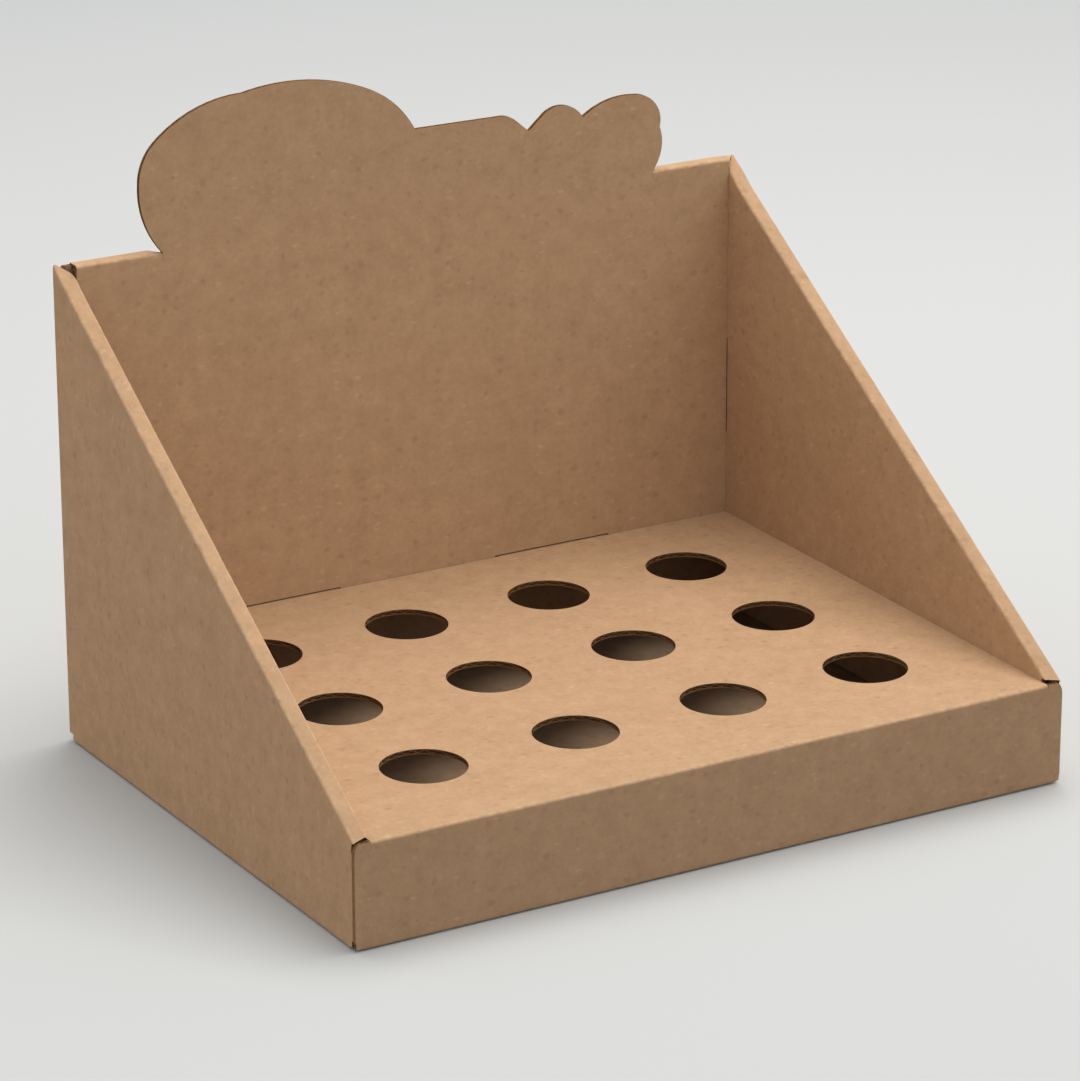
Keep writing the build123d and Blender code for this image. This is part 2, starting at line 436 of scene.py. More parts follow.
@dataclass
class Panel:
    """Flat stretch of board between its creases and cuts."""

    origin: Vector
    across: Vector
    along: Vector
    outward: Vector
    unfold: Unfold
    loops: list[Outline]
    inside_out: bool = False
    grid: float = 7.0
    rings: tuple[tuple[float, int], ...] = ((0.9, 2), (2.4, 5), (4.8, 10))
    ring_clear: float = 0.8
    ring_apart: float = 0.6
    grid_clear: float = 0.4
    grid_apart: float = 0.6

    def place(self, spot: Vector, depth: float = 0.0) -> Vector:
        """Place on the folded box of a spot on the panel, at a depth below its outer liner."""
        return self.origin + self.across * spot.x + self.along * spot.y - self.outward * depth

    def inside(self, spots: np.ndarray) -> np.ndarray:
        """Which spots lie on the board.

        Args:
            spots: Spots on the panel, one a row.

        Returns:
            One flag a spot.
        """
        odd = np.zeros(len(spots), bool)
        for loop in self.loops:
            begin = np.array([tuple(p) for p in loop.points])
            end = np.roll(begin, -1, axis=0)
            for a, b in zip(begin, end):
                if a[1] != b[1]:
                    crosses = (a[1] > spots[:, 1]) != (b[1] > spots[:, 1])
                    at = a[0] + (spots[:, 1] - a[1]) * (b[0] - a[0]) / (b[1] - a[1])
                    odd ^= crosses & (spots[:, 0] < at)
        return odd

    def fill(self) -> list[Vector]:
        """Spots inside the panel, close together along its fluted edges and wide apart elsewhere.

        Returns:
            The spots.
        """
        rim = np.array([tuple(p) for loop in self.loops for p in loop.points])
        wanted: list[tuple[Vector, float, float]] = []
        for distance, stride in self.rings:
            for loop in self.loops:
                for k in range(0, len(loop.points), stride):
                    if loop.kinds[k] is Edge.FLUTED:
                        spot = loop.points[k] + loop.inward(k) * distance
                        from_rim, apart = self.ring_clear * distance, self.ring_apart * distance
                        wanted.append((spot, from_rim, apart))
        low = rim.min(axis=0)
        counts = np.maximum(1, np.ceil((rim.max(axis=0) - low) / self.grid)).astype(int)
        for i in range(counts[0]):
            for j in range(counts[1]):
                spot = Vector((low[0] + (i + 0.5) * self.grid, low[1] + (j + 0.5) * self.grid))
                wanted.append((spot, self.grid_clear * self.grid, self.grid_apart * self.grid))
        on_board = self.inside(np.array([tuple(spot) for spot, _, _ in wanted]))
        taken = np.empty((len(wanted), 2))
        chosen: list[Vector] = []
        for good, (spot, from_rim, apart) in zip(on_board, wanted):
            here = np.array(tuple(spot))
            if not good or ((rim - here) ** 2).sum(axis=1).min() < from_rim ** 2:
                continue
            others = taken[:len(chosen)]
            if len(others) and ((others - here) ** 2).sum(axis=1).min() < apart ** 2:
                continue
            taken[len(chosen)] = here
            chosen.append(spot)
        return chosen

    def add_to(self, sheet: Sheet) -> None:
        """Adds both liners and the cut edges of the panel.

        Args:
            sheet: Sheet that takes them.
        """
        thickness = sheet.board.thickness
        spots = [p for loop in self.loops for p in loop.points]
        edges = []
        for loop in self.loops:
            first = len(edges)
            count = len(loop.points)
            edges.extend((first + k, first + (k + 1) % count) for k in range(count))
        spots += self.fill()
        found, _, triangles, sources, _, _ = delaunay_2d_cdt(spots, edges, [], 0, TINY)
        found = [spots[source[0]] if source else spot for spot, source in zip(found, sources)]
        flat = np.array([tuple(spot) for spot in found])
        triangles = np.array(triangles)
        kept = triangles[self.inside(flat[triangles].mean(axis=1))]
        blanks = [self.unfold(spot.x, spot.y) for spot in found]
        outer, inner = (
            [sheet.point(self.place(spot, depth), blank) for spot, blank in zip(found, blanks)]
            for depth in (0.0, thickness)
        )
        kinds = (Face.INNER, Face.OUTER) if self.inside_out else (Face.OUTER, Face.INNER)
        right_handed = self.across.cross(self.along).dot(self.outward) > 0
        for a, b, c in kept:
            one, two = flat[b] - flat[a], flat[c] - flat[a]
            upright = one[0] * two[1] - one[1] * two[0] > 0
            ring = [a, b, c] if upright == right_handed else [c, b, a]
            sheet.face([outer[k] for k in ring], kinds[0])
            sheet.face([inner[k] for k in ring[::-1]], kinds[1])
        for loop in self.loops:
            self._cut_edges(sheet, loop)

    def _cut_edges(self, sheet: Sheet, loop: Outline) -> None:
        """Adds the walls along a die line, leaving out its folds.

        Args:
            sheet: Sheet that takes them.
            loop: Die line.
        """
        columns = []
        for k, spot in enumerate(loop.points):
            way = loop.inward(k)
            faces = [self.place(spot), self.place(spot, sheet.board.thickness)]
            columns.append(Column(
                *(reversed(faces) if self.inside_out else faces),
                self.across * way.x + self.along * way.y,
                self.unfold(spot.x, spot.y),
                loop.opening(k),
            ))
        columns.append(columns[0])
        for k, kind in enumerate(loop.kinds):
            if kind is not Edge.FOLD:
                sheet.wall(columns[k:k + 2])


@dataclass(frozen=True)
class Row:
    """One line along a bend, on both faces of the board."""

    reach: float
    convex: Vector
    concave: Vector
    normal: Vector
    crest_weight: float


@dataclass
class Bend:
    """Board carried round one or more parallel creases."""

    path: list[Vector]
    outward: Vector
    run: Vector
    count: int
    start: Along
    stop: Along
    unfold: Unfold
    undercut: Along = field(default_factory=lambda: level(0.0))
    inside_out: bool = False
    radius: float | None = None
    openings: Flat = (1.0, 1.0)

    def rows(self, board: Board) -> list[Row]:
        """Section of the bend.

        Args:
            board: Board that is bent.

        Returns:
            Its rows, from the first panel to the last one.
        """
        normal = self.outward
        thickness = board.thickness
        radius = self.radius or board.fold_radius
        rows = [Row(0.0, self.path[0], self.path[0] - normal * thickness, normal, 0.0)]
        reach = 0.0
        for before, corner, after in zip(self.path, self.path[1:], self.path[2:]):
            reach += (corner - before).length
            way = (corner - before).normalized()
            turn = way.angle(after - corner)
            turned = normal * math.cos(turn) + way * math.sin(turn)
            inner = corner - (normal + turned) * (thickness / (1 + normal.dot(turned)))
            arm = radius * math.tan(turn / 2)
            inner_arm = board.crease_radius * math.tan(turn / 2)
            hub = corner - way * arm - normal * radius
            inner_hub = inner - way * inner_arm - normal * board.crease_radius
            for k in range(board.fold_steps + 1):
                share = k / board.fold_steps
                facing = normal * math.cos(turn * share) + way * math.sin(turn * share)
                rows.append(Row(
                    reach + arm * (2 * share - 1),
                    hub + facing * radius,
                    inner_hub + facing * board.crease_radius,
                    facing,
                    # Crest weight, most at the middle of the round; it scales the crush and the
                    # lighter crease tone, partly wear and partly painted highlight.
                    math.sin(math.pi * share),
                ))
            normal = turned
        reach += (self.path[-1] - self.path[-2]).length
        rows.append(Row(reach, self.path[-1], self.path[-1] - normal * thickness, normal, 0.0))
        return rows

    def add_to(self, sheet: Sheet) -> None:
        """Adds both faces of the bend and its two ends.

        Args:
            sheet: Sheet that takes them.
        """
        board = sheet.board
        along, across = board.crush_scale
        rows = self.rows(board)
        grids: list[list[list[int]]] = [[], []]
        ends: list[list[Column]] = [[], []]
        for row in rows:
            begin, end = self.start(row.reach), self.stop(row.reach)
            end_below = end - self.undercut(row.reach)
            lines: list[list[int]] = [[], []]
            for k in range(self.count + 1):
                at = begin + (end - begin) * k / self.count
                below = begin + (end_below - begin) * k / self.count
                dent_at = Vector((at * along, row.reach * across, self.path[0].x))
                dent = board.crush * noise.noise(dent_at)
                outer = row.convex + self.run * at + row.normal * (row.crest_weight * dent)
                inner = row.concave + self.run * below
                blank = self.unfold(row.reach, at)
                lines[0].append(sheet.point(outer, blank, row.crest_weight))
                lines[1].append(sheet.point(inner, blank))
                if k in (0, self.count):
                    closed = row is rows[0] or row is rows[-1]
                    inward = self.run if k == 0 else -self.run
                    faces = (inner, outer) if self.inside_out else (outer, inner)
                    opening = 0.0 if closed else self.openings[k > 0]
                    ends[k > 0].append(Column(*faces, inward, blank, opening))
            grids[0].append(lines[0])
            grids[1].append(lines[1])
        step = rows[1].convex - rows[0].convex
        outwards = step.cross(self.run).dot(rows[0].normal) > 0
        for side, grid in enumerate(grids):
            kind = Face.OUTER if (side == 0) != self.inside_out else Face.INNER
            for low, high in zip(grid, grid[1:]):
                for k in range(self.count):
                    quad = [low[k], high[k], high[k + 1], low[k + 1]]
                    sheet.face(quad if outwards == (side == 0) else quad[::-1], kind)
        for end in ends:
            sheet.wall(end)


def arc_points(begin: Vector, middle: Vector, end: Vector, step: float) -> list[Vector]:
    """Samples the arc through three points.

    Args:
        begin: First point, which is left out.
        middle: Point on the way.
        end: Last point.
        step: Distance between samples.

    Returns:
        The samples.
    """
    a, b = middle - begin, end - begin
    twice = 2 * (a.x * b.y - a.y * b.x)
    hub = begin + Vector((
        (b.y * a.length_squared - a.y * b.length_squared) / twice,
        (a.x * b.length_squared - b.x * a.length_squared) / twice,
    ))
    spoke = begin - hub
    first = math.atan2(spoke.y, spoke.x)
    turn = math.atan2((end - hub).y, (end - hub).x) - first
    clockwise = twice < 0
    turn = turn % (2 * math.pi) - (2 * math.pi if clockwise else 0.0)
    count = max(ARC_STEPS, round(abs(turn) * spoke.length / step))
    spots = [hub + Matrix.Rotation(turn * k / count, 2) @ spoke for k in range(1, count + 1)]
    spots[-1] = end
    return spots


def tangent_arc(
    begin: Vector, way: Vector, end: Vector, step: float,
) -> tuple[list[Vector], Vector]:
    """Samples the arc that leaves a point in a direction and meets another point.

    Args:
        begin: First point, which is left out.
        way: Direction at the first point.
        end: Last point.
        step: Distance between samples.

    Returns:
        The samples and the direction at the last point.
    """
    chord = (end - begin).normalized()
    way = way.normalized()
    half = -way.angle_signed(chord)
    radius = (end - begin).length / (2 * math.sin(abs(half)))
    side = Vector((-way.y, way.x)) * (1.0 if half > 0 else -1.0)
    hub = begin + side * radius
    count = max(ARC_STEPS, round(abs(2 * half) * radius / step))
    turns = [Matrix.Rotation(2 * half * k / count, 2) for k in range(1, count + 1)]
    spots = [hub + turn @ (begin - hub) for turn in turns]
    spots[-1] = end
    return spots, Matrix.Rotation(2 * half, 2) @ way


@dataclass
class Shell:
    """Outside sizes that the sub-assemblies share (mm)."""

    side_x: float
    rear_y: float
    back_height: float = 150.0
    front_height: float = 32.0
    board: Board = field(default_factory=Board)
    ply_gap: float = 0.2
    edge_gap: float = 0.3
    fit_gap: float = 0.15
    bend_arm: float = 2.4
    foot: float = 1.9
    roll_rise: float = 0.1
    snug_gap: float = 0.05
    mitre_start: float = 0.4
    mitre_bulge: float = 1.5

    def __post_init__(self) -> None:
        """Works out the walls, which are three boards thick, and the slope of the side walls."""
        self.front_y = -self.rear_y
        self.wall = 3 * self.board.thickness + 2 * self.ply_gap
        self.inner_x = self.side_x - self.wall
        self.core_x = self.inner_x - self.fit_gap
        self.snug_x = self.inner_x - self.snug_gap
        self.inner_back_y = self.rear_y - self.wall
        fall = self.back_height - self.front_height - self.roll_rise
        self.slope = math.atan2(fall, 2 * self.rear_y)

    def mitre_y(self, x: float) -> float:
        """Depth of the mitred rear end of a rolled slope at a distance from the box's middle."""
        share = (self.side_x - self.mitre_start - x) / (self.wall - self.mitre_start)
        return self.rear_y - self.wall * clamped(share) ** self.mitre_bulge

    def mitre_x(self, y: float) -> float:
        """Distance from the middle of the box at which the mitred end passes a depth."""
        share = clamped((self.rear_y - y) / self.wall) ** (1 / self.mitre_bulge)
        return self.side_x - self.mitre_start - (self.wall - self.mitre_start) * share

    def past_corner(self, reach: float) -> float:
        """Share of a bend's second leg that a row has come to, from the middle of its round on."""
        return clamped((reach - self.bend_arm) / self.board.fold_radius)

    def slope_height(self, y: float, drop: float = 0.0) -> float:
        """Height of the side wall's top line at a depth, or of a line a drop below it."""
        line = self.back_height - (self.rear_y - y) * math.tan(self.slope)
        return line - drop / math.cos(self.slope)


@dataclass
class Tray:
    """Base, front panel with its ears, and the shelf with its holes."""

    shell: Shell
    ear_drop: float = 0.1
    ear_round_width: float = 1.9
    ear_round_height: float = 4.0
    front_trim: float = 0.2
    shelf_rise: float = 1.3
    hole_diameter: float = 25.5
    hole_columns: int = 4
    hole_rows: int = 3
    hole_side_margin: float = 38.65
    hole_front_margin: float = 39.3
    hole_rear_margin: float = 37.35
    tab_width: float = 40.5
    tab_centre: float = 48.6
    tab_reach: float = 3.4
    side_fold_count: int = 70
    front_fold_count: int = 93

    def __post_init__(self) -> None:
        """Works out the shelf's plane and where the base's creases end."""
        shell = self.shell
        shelf_run = shell.inner_back_y - shell.fit_gap - shell.front_y
        self.shelf_length = math.hypot(shelf_run, self.shelf_rise)
        self.shelf_tilt = math.asin(self.shelf_rise / self.shelf_length)
        self.base_x = shell.side_x - shell.bend_arm
        self.base_front_y = shell.front_y + shell.bend_arm
        self.base_rear_y = shell.rear_y - shell.bend_arm
        self.corner_y = shell.front_y + shell.foot + shell.bend_arm
        self.side_fold_front_y = self.corner_y + shell.fit_gap
        self.front_fold_x = shell.side_x - self.front_trim
        self.corner_x = shell.side_x - shell.board.thickness - shell.fit_gap
        self.back_fold_x = shell.side_x - shell.board.thickness - shell.ply_gap - shell.bend_arm

    def add_to(self, sheet: Sheet) -> None:
        """Adds the base, the front panel, the shelf and the creases between them."""
        for part in (self.base(), self.front(), self.shelf(), self.front_fold(), self.lip()):
            part.add_to(sheet)

    def base(self) -> Panel:
        """Panel that the box stands on.

        Returns:
            The panel.
        """
        line = Outline(-self.corner_x, self.base_front_y)
        line.line(self.corner_x, self.base_front_y, Edge.FOLD, self.front_fold_count)
        line.line(self.corner_x, self.corner_y, Edge.PLAIN)
        line.line(self.base_x, self.corner_y, Edge.PLAIN)
        line.line(self.base_x, self.side_fold_front_y, Edge.PLAIN)
        line.line(self.base_x, self.base_rear_y, Edge.FOLD, self.side_fold_count)
        line.line(self.back_fold_x, self.base_rear_y, Edge.PLAIN)
        line.line(-self.back_fold_x, self.base_rear_y, Edge.FOLD, self.front_fold_count)
        line.line(-self.base_x, self.base_rear_y, Edge.PLAIN)
        line.line(-self.base_x, self.side_fold_front_y, Edge.FOLD, self.side_fold_count)
        line.line(-self.base_x, self.corner_y, Edge.PLAIN)
        line.line(-self.corner_x, self.corner_y, Edge.PLAIN)
        line.line(-self.corner_x, self.base_front_y, Edge.PLAIN)
        return Panel(
            Vector((0, 0, 0)), X_AXIS, Y_AXIS, -Z_AXIS, lambda x, y: (x, y), [line.closed()],
        )

    def front_fold(self) -> Bend:
        """Crease between the base and the front panel.

        Returns:
            The bend.
        """
        shell = self.shell
        path = [
            Vector((0, self.base_front_y, 0)),
            Vector((0, shell.front_y, 0)),
            Vector((0, shell.front_y, shell.bend_arm)),
        ]

        def end(reach: float) -> float:
            """End of a row, longer once the crease has turned up in front of the side wall."""
            return blend(self.corner_x, self.front_fold_x, shell.past_corner(reach))

        return Bend(
            path, -Z_AXIS, X_AXIS, self.front_fold_count, lambda reach: -end(reach), end,
            lambda reach, x: (x, self.base_front_y - reach),
        )

    def front(self) -> Panel:
        """Front panel, with an ear at each end over the front edge of a side wall.

        Returns:
            The panel.
        """
        shell = self.shell
        low, high = shell.bend_arm, shell.front_height - shell.bend_arm
        top = shell.front_height - self.ear_drop
        line = Outline(-self.front_fold_x, low)
        line.line(self.front_fold_x, low, Edge.FOLD, self.front_fold_count)
        line.line(shell.side_x, low + self.front_trim, Edge.PLAIN)
        line.line(shell.side_x, top - self.ear_round_height, Edge.PLAIN)
        line.quarter(shell.side_x - self.ear_round_width, top, Edge.ROUND)
        line.line(shell.inner_x, top, Edge.FLUTED)
        line.line(shell.inner_x, high, Edge.PLAIN)
        half = line.points[1 + self.front_fold_count:]
        kinds = line.kinds[1 + self.front_fold_count:]
        line.line(shell.snug_x, high, Edge.PLAIN)
        line.line(-shell.snug_x, high, Edge.FOLD, self.front_fold_count)
        line.through([Vector((-half[-1].x, half[-1].y))], Edge.PLAIN)
        for k in range(len(half) - 2, -1, -1):
            line.through([Vector((-half[k].x, half[k].y))], kinds[k])
        line.line(-self.front_fold_x, low, Edge.PLAIN)
        return Panel(
            Vector((0, shell.front_y, 0)), X_AXIS, Z_AXIS, -Y_AXIS,
            lambda x, z: (x, shell.front_y - z), [line.closed()],
        )

    def lip(self) -> Bend:
        """Crease between the front panel and the shelf.

        Returns:
            The bend.
        """
        shell = self.shell
        back = Vector((0, math.cos(self.shelf_tilt), math.sin(self.shelf_tilt)))
        corner = Vector((0, shell.front_y, shell.front_height))
        path = [corner - Z_AXIS * shell.bend_arm, corner, corner + back * shell.bend_arm]
        return Bend(
            path, -Y_AXIS, X_AXIS, self.front_fold_count, level(-shell.snug_x), level(shell.snug_x),
            lambda reach, x: (x, shell.front_y - shell.front_height + shell.bend_arm - reach),
        )

    def shelf(self) -> Panel:
        """Shelf with the product holes and the two tabs that lock into the inner back panel.

        Returns:
            The panel.
        """
        shell = self.shell
        back = Vector((0, math.cos(self.shelf_tilt), math.sin(self.shelf_tilt)))
        near, far = shell.bend_arm, self.shelf_length
        line = Outline(shell.snug_x, near)
        line.line(shell.snug_x, far, Edge.PLAIN)
        for middle in (self.tab_centre, -self.tab_centre):
            line.line(middle + self.tab_width / 2, far, Edge.FLUTED)
            line.line(middle + self.tab_width / 2, far + self.tab_reach, Edge.PLAIN)
            line.line(middle - self.tab_width / 2, far + self.tab_reach, Edge.PLAIN)
            line.line(middle - self.tab_width / 2, far, Edge.PLAIN)
        line.line(-shell.snug_x, far, Edge.FLUTED)
        line.line(-shell.snug_x, near, Edge.PLAIN)
        line.line(shell.snug_x, near, Edge.FOLD, self.front_fold_count)
        loops = [line.closed()]
        first_x = shell.inner_x - self.hole_side_margin + shell.fit_gap
        pitch_x = 2 * first_x / (self.hole_columns - 1)
        rows = self.hole_rows - 1
        pitch_y = (self.shelf_length - self.hole_front_margin - self.hole_rear_margin) / rows
        for i in range(self.hole_columns):
            for j in range(self.hole_rows):
                x = -first_x + i * pitch_x
                y = self.hole_front_margin + j * pitch_y
                loops.append(Outline.circle(x, y, self.hole_diameter / 2, Edge.FLUTED))
        start = shell.front_y - shell.front_height
        return Panel(
            Vector((0, shell.front_y, shell.front_height)), X_AXIS, back, X_AXIS.cross(back),
            lambda x, y: (x, start - y), loops,
        )


@dataclass
class DieLine:
    """Outline of the header above the crease it stands on, from left to right (mm)."""

    left: float = -85.5
    right: float = 85.5
    cheek_middle: Flat = (-90.6, 8.6)
    cheek_end: Flat = (-92.5, 21.3)
    brow_end: Flat = (-86.6, 34.3)
    crown_end: Flat = (-57.7, 45.1)
    dome_middle: Flat = (-44.0, 46.6)
    dome_end: Flat = (-15.3, 40.9)
    shoulder_middle: Flat = (-6.5, 35.3)
    ledge_start: Flat = (0.6, 26.2)
    ledge_end: Flat = (30.0, 26.0)
    nose_middle: Flat = (33.5, 25.5)
    nose_end: Flat = (36.2, 23.8)
    dip_end: Flat = (40.6, 19.8)
    flank_end: Flat = (45.2, 23.9)
    knob_middle: Flat = (51.2, 26.6)
    knob_end: Flat = (60.0, 21.6)
    rise_middle: Flat = (67.4, 25.5)
    rise_end: Flat = (78.5, 26.6)
    tip_end: Flat = (87.9, 14.6)
    jowl_middle: Flat = (88.8, 8.6)

    def sampled(self) -> list[Vector]:
        """Samples the whole line at the step of a fluted edge.

        Returns:
            Points from the left foot to the right foot.
        """
        step = Edge.FLUTED.value
        spots = [Vector((self.left, 0.0))]

        def arc(middle: Flat, end: Flat) -> None:
            """Adds an arc through a middle point."""
            spots.extend(arc_points(spots[-1], Vector(middle), Vector(end), step))

        def straight(end: Flat) -> None:
            """Adds a straight stretch.

            Args:
                end: End of the stretch.
            """
            begin, goal = spots[-1], Vector(end)
            count = max(1, round((goal - begin).length / step))
            spots.extend(begin.lerp(goal, k / count) for k in range(1, count + 1))

        arc(self.cheek_middle, self.cheek_end)
        brow, way = tangent_arc(spots[-1], Vector((0, 1)), Vector(self.brow_end), step)
        spots.extend(brow)
        crown, _ = tangent_arc(spots[-1], way, Vector(self.crown_end), step)
        spots.extend(crown)
        arc(self.dome_middle, self.dome_end)
        arc(self.shoulder_middle, self.ledge_start)
        straight(self.ledge_end)
        arc(self.nose_middle, self.nose_end)
        straight(self.dip_end)
        straight(self.flank_end)
        arc(self.knob_middle, self.knob_end)
        arc(self.rise_middle, self.rise_end)
        tip, _ = tangent_arc(spots[-1], Vector((1, 0)), Vector(self.tip_end), step)
        spots.extend(tip)
        arc(self.jowl_middle, (self.right, 0.0))
        return spots


@dataclass
class BackWall:
    """Outer back panel with its window, rolled top, inner panel with the header, corner flaps."""

    shell: Shell
    tray: Tray
    die_line: DieLine = field(default_factory=DieLine)
    corner_flap_length: float = 80.0
    corner_flap_drop: float = 2.0
    slot_end_gap: float = 0.6
    slot_low: float = 31.4
    slot_high: float = 33.75
    root_gap: float = 0.06
    left_corner_drop: float = 0.6
    right_corner_drop: float = 1.9
    strip_overlap: float = 1.0
    strip_cover: float = 0.4
    strip_undercut: float = 1.3
    strip_taper: float = 1.0
    window_gap: float = 0.2
    roll_count: int = 12
    flap_fold_count: int = 58

    def __post_init__(self) -> None:
        """Works out the layers and samples the header's die line."""
        shell = self.shell
        self.flap_x = shell.side_x - shell.board.thickness - shell.ply_gap
        self.panel_x = self.flap_x - shell.bend_arm
        self.fold_z = shell.back_height - shell.bend_arm
        self.strip_length = 2 * shell.bend_arm + shell.wall
        drops = {Hand.LEFT: self.left_corner_drop, Hand.RIGHT: self.right_corner_drop}
        self.corner_z = {hand: shell.back_height - drop for hand, drop in drops.items()}
        self.strip_x = {Hand.LEFT: shell.core_x, Hand.RIGHT: shell.core_x + self.strip_overlap}
        self.spots = self.die_line.sampled()
        self.window_edge = shell.wall + shell.bend_arm
        heights = [spot.y for spot in self.spots]
        middle = heights.index(max(heights))
        self.left_side = [(s.y, s.x) for s in self.spots[:middle]]
        self.right_side = [(s.y, s.x) for s in reversed(self.spots[middle:])]
        self.window = [s for s in self.spots if s.y > self.window_edge + self.window_gap]

    def side_at(self, side: list[tuple[float, float]], height: float) -> float:
        """Place of the die line near its foot.

        Args:
            side: Points of one side, as height and x, from the foot up.
            height: Height above the crease.

        Returns:
            The x of the line at that height.
        """
        if height <= 0:
            return side[0][1]
        for (low, x), (high, next_x) in zip(side, side[1:]):
            if low <= height <= high:
                return x + (next_x - x) * (height - low) / (high - low)
        raise ValueError("the die line has no such height")

    def add_to(self, sheet: Sheet) -> None:
        """Adds the back wall's panels and creases.

        Args:
            sheet: Sheet that takes them.
        """
        parts = [self.foot_fold(), self.outer(), self.inner()]
        for hand in Hand:
            parts += [self.roll(hand), self.corner_fold(hand), self.corner_flap(hand)]
        for part in parts:
            part.add_to(sheet)

    def foot_fold(self) -> Bend:
        """Crease between the base and the outer back panel.

        Returns:
            The bend.
        """
        shell, tray = self.shell, self.tray
        path = [
            Vector((0, tray.base_rear_y, 0)),
            Vector((0, shell.rear_y, 0)),
            Vector((0, shell.rear_y, shell.bend_arm)),
        ]
        return Bend(
            path, -Z_AXIS, X_AXIS, tray.front_fold_count,
            level(-tray.back_fold_x), level(tray.back_fold_x),
            lambda reach, x: (x, tray.base_rear_y + reach),
        )

    def flap_top(self, y: float) -> float:
        """Top of a corner flap at a depth."""
        return self.shell.slope_height(y, self.corner_flap_drop)

    def corner_top(self, hand: Hand, reach: float) -> float:
        """Top of a corner's rows, which falls away under the end of the rolled slope.

        Args:
            hand: Side of the box.
            reach: Distance of the row from the outer back panel.

        Returns:
            Height of the row's top.
        """
        shell = self.shell
        arm, radius = shell.bend_arm, shell.board.fold_radius
        if reach > arm + radius:
            return self.flap_top(shell.rear_y - (reach - arm))
        fallen = max(0.0, (reach - arm + radius) / (2 * radius))
        return blend(self.corner_z[hand], self.flap_top(shell.rear_y - radius), fallen)

    def outer(self) -> Panel:
        """Outer back panel, open where the header was cut out of it.

        Returns:
            The panel.
        """
        shell, tray = self.shell, self.tray
        low = shell.bend_arm
        left = self.side_at(self.left_side, self.window_edge)
        right = self.side_at(self.right_side, self.window_edge)
        fold_line = shell.back_height + shell.wall
        strip_left, strip_right = -self.strip_x[Hand.LEFT], self.strip_x[Hand.RIGHT]
        line = Outline(-tray.back_fold_x, low)
        line.line(tray.back_fold_x, low, Edge.FOLD, tray.front_fold_count)
        line.line(self.panel_x, low, Edge.PLAIN)
        line.line(self.panel_x, self.corner_z[Hand.RIGHT], Edge.FOLD, self.flap_fold_count)
        line.line(strip_right + self.root_gap, self.corner_z[Hand.RIGHT], Edge.FLUTED)
        line.line(strip_right, self.fold_z, Edge.PLAIN)
        line.line(right, self.fold_z, Edge.FOLD, self.roll_count)
        line.through([Vector((s.x, fold_line - s.y)) for s in reversed(self.window)], Edge.FLUTED)
        line.line(left, self.fold_z, Edge.FLUTED)
        line.line(strip_left, self.fold_z, Edge.FOLD, self.roll_count)
        line.line(strip_left - self.root_gap, self.corner_z[Hand.LEFT], Edge.PLAIN)
        line.line(-self.panel_x, self.corner_z[Hand.LEFT], Edge.FLUTED)
        line.line(-self.panel_x, low, Edge.FOLD, self.flap_fold_count)
        line.line(-tray.back_fold_x, low, Edge.PLAIN)
        return Panel(
            Vector((0, shell.rear_y, 0)), X_AXIS, Z_AXIS, Y_AXIS,
            lambda x, z: (x, shell.rear_y + z), [line.closed()],
        )

    def roll(self, hand: Hand) -> Bend:
        """Rolled top of the back wall on one side of the header.

        Args:
            hand: Side of the box.

        Returns:
            The bend.
        """
        shell = self.shell
        rear, inner = shell.rear_y, shell.inner_back_y
        path = [
            Vector((0, rear, self.fold_z)),
            Vector((0, rear, shell.back_height)),
            Vector((0, inner, shell.back_height)),
            Vector((0, inner, self.fold_z)),
        ]
        side = self.left_side if hand is Hand.LEFT else self.right_side

        def header_end(reach: float) -> float:
            """End of a row at the header, clear of its foot.

            Args:
                reach: Distance of the row from the first panel.

            Returns:
                The x of the end.
            """
            height = self.window_edge - reach
            clear = self.root_gap * min(1.0, reach / self.window_edge)
            return self.side_at(side, height) + hand.value * clear

        def outside(reach: float) -> float:
            """End of a row at the side wall, which on the right follows the rolled slope's mitre.

            Args:
                reach: Distance of the row from the first panel.

            Returns:
                The x of the end.
            """
            if hand is Hand.LEFT:
                return -shell.core_x
            meet = shell.mitre_x(rear - reach + shell.bend_arm) + self.strip_cover
            taper = min(1.0, (self.strip_length - reach) / self.strip_taper)
            meet = blend(shell.core_x, meet, taper)
            return blend(self.strip_x[hand], meet, shell.past_corner(reach))

        def undercut(reach: float) -> float:
            """How far the right end's underside stands back behind the end of the rolled slope."""
            over_slope = hand is Hand.RIGHT and reach < self.strip_length / 2
            return self.strip_undercut * shell.past_corner(reach) if over_slope else 0.0

        begin, end = (outside, header_end) if hand is Hand.LEFT else (header_end, outside)
        start = shell.rear_y + self.fold_z
        return Bend(
            path, Y_AXIS, X_AXIS, self.roll_count, begin, end,
            lambda reach, x: (x, start + reach), undercut,
            openings=(1.0, 1.0 if hand is Hand.LEFT else 0.0),
        )

